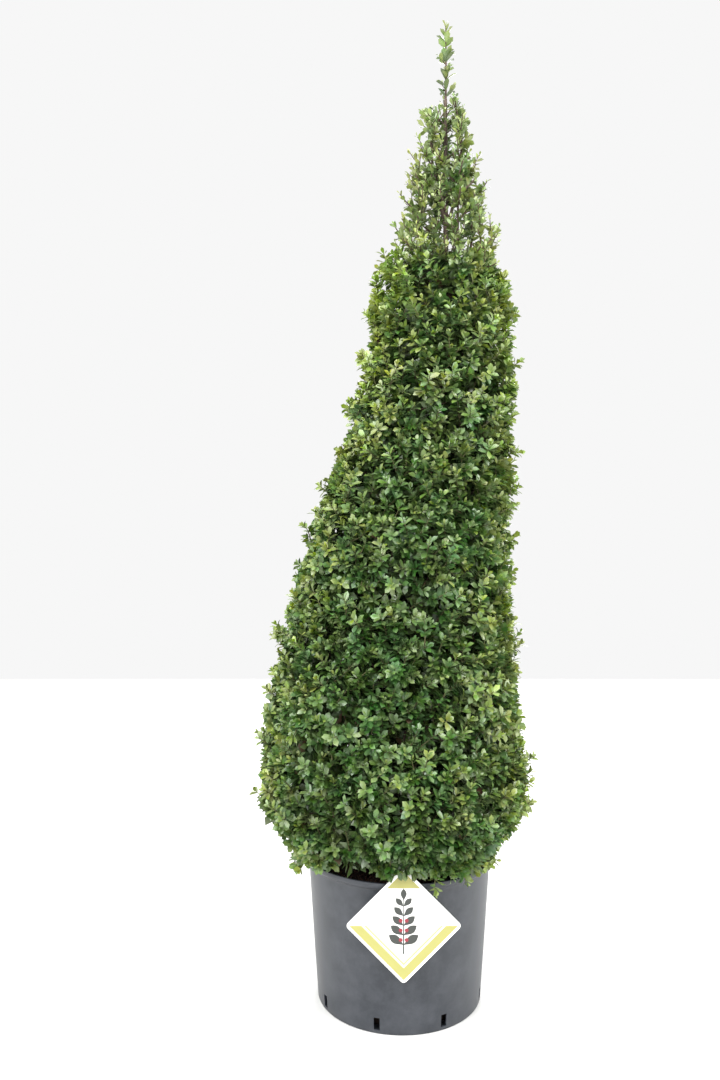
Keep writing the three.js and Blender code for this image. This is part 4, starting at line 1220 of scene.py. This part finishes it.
def twig_lines(twigs, radii, steps):
    """Points, edges and girths for a set of twigs that thin from foot to tip."""
    t = np.linspace(0, 1, steps)
    points = along_twig(twigs, np.broadcast_to(t, (len(twigs), steps))).reshape(-1, 3)
    girths = np.tile(radii[0] + (radii[1] - radii[0]) * t, len(twigs))
    starts = np.arange(len(twigs))[:, None] * steps + np.arange(steps - 1)
    edges = np.stack([starts.ravel(), starts.ravel() + 1], 1)
    return points, edges, girths


def add_twigs(name, groups, sides, finish):
    """Twigs with one bark as one piece. A group has its twigs, their radii and the points along each."""
    points, edges, girths, count = [], [], [], 0
    for twigs, radii, steps in groups:
        group = twig_lines(twigs, radii, steps)
        points.append(group[0])
        edges.append(group[1] + count)
        girths.append(group[2])
        count += len(group[0])
    piece = points_piece(
        name, np.concatenate(points), np.concatenate(edges).tolist(), girth=np.concatenate(girths) * MM)
    make_real(piece, twig_tree, Sides=sides, Finish=finish)
    strip(piece)
    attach(piece, "root")


for part, bands in {"lower_crown": ("skirt", "low"), "upper_crown": ("middle", "high")}.items():
    part_cells = [cell for cell in dense_cells if cell["band"] in bands]
    growths = [cell["growth"] for cell in part_cells]
    add_twigs(f"twigs_{part}", wood_of(growths, LIMB_WOOD), TWIG_SIDES, twig_finish)
    add_twigs(f"shoots_{part}", wood_of(growths, SHOOT_WOOD), TWIG_SIDES, shoot_finish)
    sites = merged([
        leaf_sites(growth["shoots"], growth["vigour"], LEAVES_ON_SHOOT, LEAF_SPACING, LEAF_LENGTH,
                   dry_share=DRY_SHARE)
        for growth in growths])
    masses = [f"foliage_{cell['name']}" for cell in part_cells]
    add_leaves(part, kept_sites(sites), leaf_finishes, masses)
    shade = kept_sites(merged([
        leaf_sites(growth["inner"], np.zeros(len(growth["inner"])), INNER_LEAVES, INNER_LEAF_SPACING,
                   INNER_LEAF_LENGTH)
        for growth in growths]))
    withered = draw.uniform(0, 1, len(shade["size"])) < DRY_SHADE_SHARE
    shade_kinds = {"shade": (~withered, shade_finish), "withered": (withered, leaf_finishes["dry"])}
    for name, (chosen, finish) in shade_kinds.items():
        own = {key: values[chosen] for key, values in shade.items()}
        leaf_piece(f"{name}_leaves_{part}", own, shade_blade, finish)


# The open top: thinner sprays above the clipped part, each going on from its bough, and the leader over them.
# Upright twigs carry side twigs with leaves all along, and the sky shows between.

SPRAY_TWIGS = {"lower": 17, "upper": 10}
SPRAY_SHOOTS = {"lower": 46, "upper": 20}
SPRAY_STEM_SHARE = 0.6
SPRAY_STEM_HEIGHT = 0.85  # of its ring
SPRAY_STEM_BEND = 0.45
SPRAY_STEM_SHARES = np.linspace(0.05, 0.9, 8)  # where twigs may leave the stem
BOUGH_SHARES = np.linspace(0.45, 0.97, 5)  # and the bough
SPRAY_SEAT = 0.3  # clear of the bough's end, so that the two never share a plane
SPRAY_WOOD = {"stem": ((2.6, 1.4), 9), "twigs": ((1.7, 0.9), 7), "shoots": ((1.1, 0.6), 5)}
SPRAY_LEAVES = 11
SPRAY_LEAF_SPACING = 5.4
SPRAY_LEAF_LENGTH = 15.8
SPRAY_LEAF_WIDEST = 56  # degrees off the shoot
SPRAY_DULLING = (-0.24, 0.12)  # mean and scatter
SPRAY_SWAY = 0.25
SPRAY_WIDTH = 0.95  # share of its sector
SPRAY_GATHERING = 1.4  # how strongly its tips gather at the outline
SPRAY_UNDER = 40  # how far a spray begins under its ring
SPRAY_TOPS = {"lower": 1450, "upper": 1545}
SPRAY_OVER = 12  # how far the longest twigs pass the outline
SPRAY_SHORT = 6  # and how far others fall short of it
TWIG_DEEPEST = 0.55  # of the crown's radius
SHOOT_DEEPEST = 0.75
LEADER_TWIGS = 7
LEADER_TWIG_LEAVES = 4
LEADER_TWIG_SPACING = 5
LEADER_TWIG_FIRST = 0.03  # where they begin, and over how much of the leader they are set
LEADER_TWIG_STRETCH = 0.8
LEADER_REACH = 12
LEADER_SHORTENING = 0.055  # of that reach, from one twig to the next
LEADER_TWIG_SIZES = (0.7, 1.1)  # shares of it
LEADER_TWIG_RISE = 1.4
LEADER_UNDER_TIP = 12  # where its wood ends, so that its last leaves reach the top of the plant
LEADER_BEND = (1.5, 1, 60)
LEADER_WOOD = {"stem": ((2.2, 0.9), 9), "twigs": ((1.0, 0.6), 5)}
LEADER_LEAVES = 33
LEADER_LEAF_SPACING = 4.1
LEADER_LEAF_LENGTH = 21
LEADER_LEAF_WIDEST = 45
LEADER_VIGOUR = {"stem": 0.62, "twigs": 0.45}
TRUNK_TWIGS = 17  # short side twigs on the bare top of the trunk
TRUNK_TWIG_FROM = 1300
TRUNK_TWIG_REACH = 34
TRUNK_TWIG_SHORTENING = 0.45  # of their reach, towards the trunk's tip
TRUNK_TWIG_SIZES = (0.8, 1.2)  # shares of that reach
TRUNK_TWIG_RISE = 1.3  # for each millimetre outwards
TRUNK_TWIG_FIRST = 1  # turn of the lowest, in radians
TRUNK_TWIG_WOOD = ((1.2, 0.6), 5)
TRUNK_TWIG_LEAVES = 7
TRUNK_TWIG_VIGOUR = 0.2
TOP_TWIG_SIDES = 5
# Paler, lighter copies of the leaf colours for the open top: painted light from the sky shining through its
# thin sprays.
TOP_KINDS = {"old": "#526838", "grown": "#6b8045", "fresh": "#7b8d4d", "flush": "#8c9c57"}

draw = np.random.default_rng(23)


def spread_tips(cell, count, deepest):
    """Tips spread evenly over one spray's part of the outline, and some way in under it."""
    k = np.arange(count)
    across = (k + 0.5) / count
    up = (GOLDEN_START + k * GOLDEN_RATIO) % 1
    low = cell["low"] - SPRAY_UNDER
    heights = low + (SPRAY_TOPS[cell["band"]] - low) * up
    azimuths = cell["azimuth"] + cell["half"] * (2 * SPRAY_WIDTH * across - SPRAY_WIDTH)
    inward = draw.uniform(0, 1, count) ** SPRAY_GATHERING * deepest * crown_radius(heights)
    return crown_point(heights, azimuths, inward - draw.uniform(-SPRAY_SHORT, SPRAY_OVER, count))


def open_growth(cell):
    """One spray: a stem from the bough's tip, upright twigs along it and leafy side shoots."""
    bough = cell["bough"]
    heading = unit(bough[2] - bough[1])
    foot = bough[2] + SPRAY_SEAT * heading
    height = cell["low"] + SPRAY_STEM_HEIGHT * (cell["high"] - cell["low"])
    tip = crown_point(height, cell["azimuth"], crown_radius(height) * (1 - SPRAY_STEM_SHARE))
    length = np.linalg.norm(tip - foot)
    stem = np.stack([foot, foot + heading * SPRAY_STEM_BEND * length, tip])
    limb_nodes = np.concatenate([along_twig(bough, BOUGH_SHARES), along_twig(stem, SPRAY_STEM_SHARES)])
    limb_ways = np.concatenate([
        (BOUGH_SHARES - 1) * np.linalg.norm(bough[2] - bough[0]), SPRAY_STEM_SHARES * length])
    tips = spread_tips(cell, SPRAY_TWIGS[cell["band"]], TWIG_DEEPEST)
    twigs, nodes, ways = grow(limb_nodes, limb_ways, tips, shoot_headings(tips), SHOOT_JOINT)
    shoot_tips = spread_tips(cell, SPRAY_SHOOTS[cell["band"]], SHOOT_DEEPEST)
    headings = unit(shoot_headings(shoot_tips) + draw.normal(0, SPRAY_SWAY, shoot_tips.shape))
    shoots, _, _ = grow(nodes, ways, shoot_tips, headings, SHOOT_JOINT)
    leafy = np.concatenate([stem[None], twigs, shoots])
    vigour = clump_vigour(leafy[:, 2]) + draw.normal(*SPRAY_DULLING, len(leafy))
    return {"stem": stem[None], "twigs": twigs, "shoots": shoots, "leafy": leafy, "vigour": vigour}


def side_twigs(joints, turns, reach, rise):
    """Short twigs from joints on a limb, by their turns round it, how far they reach and how they rise."""
    ends = joints + np.stack([reach * np.cos(turns), reach * np.sin(turns), rise * reach], 1)
    return twig_to(joints, ends, np.broadcast_to([0.0, 0.0, 1.0], ends.shape))


def trunk_twigs():
    """Short leafy twigs on the trunk where it climbs through the open top."""
    k = np.arange(TRUNK_TWIGS)
    heights = TRUNK_TWIG_FROM + (TRUNK_TOP - TRUNK_TWIG_FROM) * k / TRUNK_TWIGS
    reach = TRUNK_TWIG_REACH * (1 - TRUNK_TWIG_SHORTENING * k / TRUNK_TWIGS)
    reach = reach * draw.uniform(*TRUNK_TWIG_SIZES, TRUNK_TWIGS)
    joints = np.stack([trunk_centre(heights), 0 * heights, heights], 1)
    return side_twigs(joints, TRUNK_TWIG_FIRST + k * GOLDEN_ANGLE, reach, TRUNK_TWIG_RISE)


def leader_growth():
    """The leader from the trunk's tip to the top of the plant, with short side twigs."""
    foot = np.array([TRUNK_LEAN, 0.0, TRUNK_TOP + SPRAY_SEAT])
    tip = np.array([TRUNK_LEAN, 0.0, CROWN_TIP - LEADER_UNDER_TIP])
    stem = np.stack([foot, foot + LEADER_BEND, tip])
    k = np.arange(LEADER_TWIGS)
    joints = along_twig(stem, LEADER_TWIG_FIRST + LEADER_TWIG_STRETCH * k / LEADER_TWIGS)
    reach = LEADER_REACH * (1 - LEADER_SHORTENING * k) * draw.uniform(*LEADER_TWIG_SIZES, LEADER_TWIGS)
    twigs = side_twigs(joints, k * GOLDEN_ANGLE, reach, LEADER_TWIG_RISE)
    return {"stem": stem[None], "twigs": twigs}


sprays = [open_growth(cell) for cell in spray_cells]
leader = leader_growth()
trunk_shoots = trunk_twigs()
top_wood = wood_of(sprays, SPRAY_WOOD) + wood_of([leader], LEADER_WOOD)
top_wood.append((trunk_shoots, *TRUNK_TWIG_WOOD))
add_twigs("twigs_open_top", top_wood, TOP_TWIG_SIDES, twig_finish)
spray_leaf = (SPRAY_LEAF_SPACING, SPRAY_LEAF_LENGTH, SPRAY_LEAF_WIDEST)
open_sites = [leaf_sites(spray["leafy"], spray["vigour"], SPRAY_LEAVES, *spray_leaf) for spray in sprays]
open_sites.append(leaf_sites(
    trunk_shoots, np.full(TRUNK_TWIGS, TRUNK_TWIG_VIGOUR), TRUNK_TWIG_LEAVES, *spray_leaf))
open_sites.append(leaf_sites(
    leader["twigs"], np.full(LEADER_TWIGS, LEADER_VIGOUR["twigs"]), LEADER_TWIG_LEAVES, LEADER_TWIG_SPACING,
    LEADER_LEAF_LENGTH, LEADER_LEAF_WIDEST))
open_sites.append(leaf_sites(
    leader["stem"], np.array([LEADER_VIGOUR["stem"]]), LEADER_LEAVES, LEADER_LEAF_SPACING,
    LEADER_LEAF_LENGTH, LEADER_LEAF_WIDEST))
open_nodes = [f"spray_{cell['name']}" for cell in spray_cells] + ["leader_spray"]
# Finishes for the open top, painted lighter for the sky shining through.
top_finishes = {
    kind: leaf_finish(f"{kind}_top_holly_leaf_painted_lighter", colour) for kind, colour in TOP_KINDS.items()}
add_leaves("open_top", merged(open_sites), top_finishes, open_nodes)
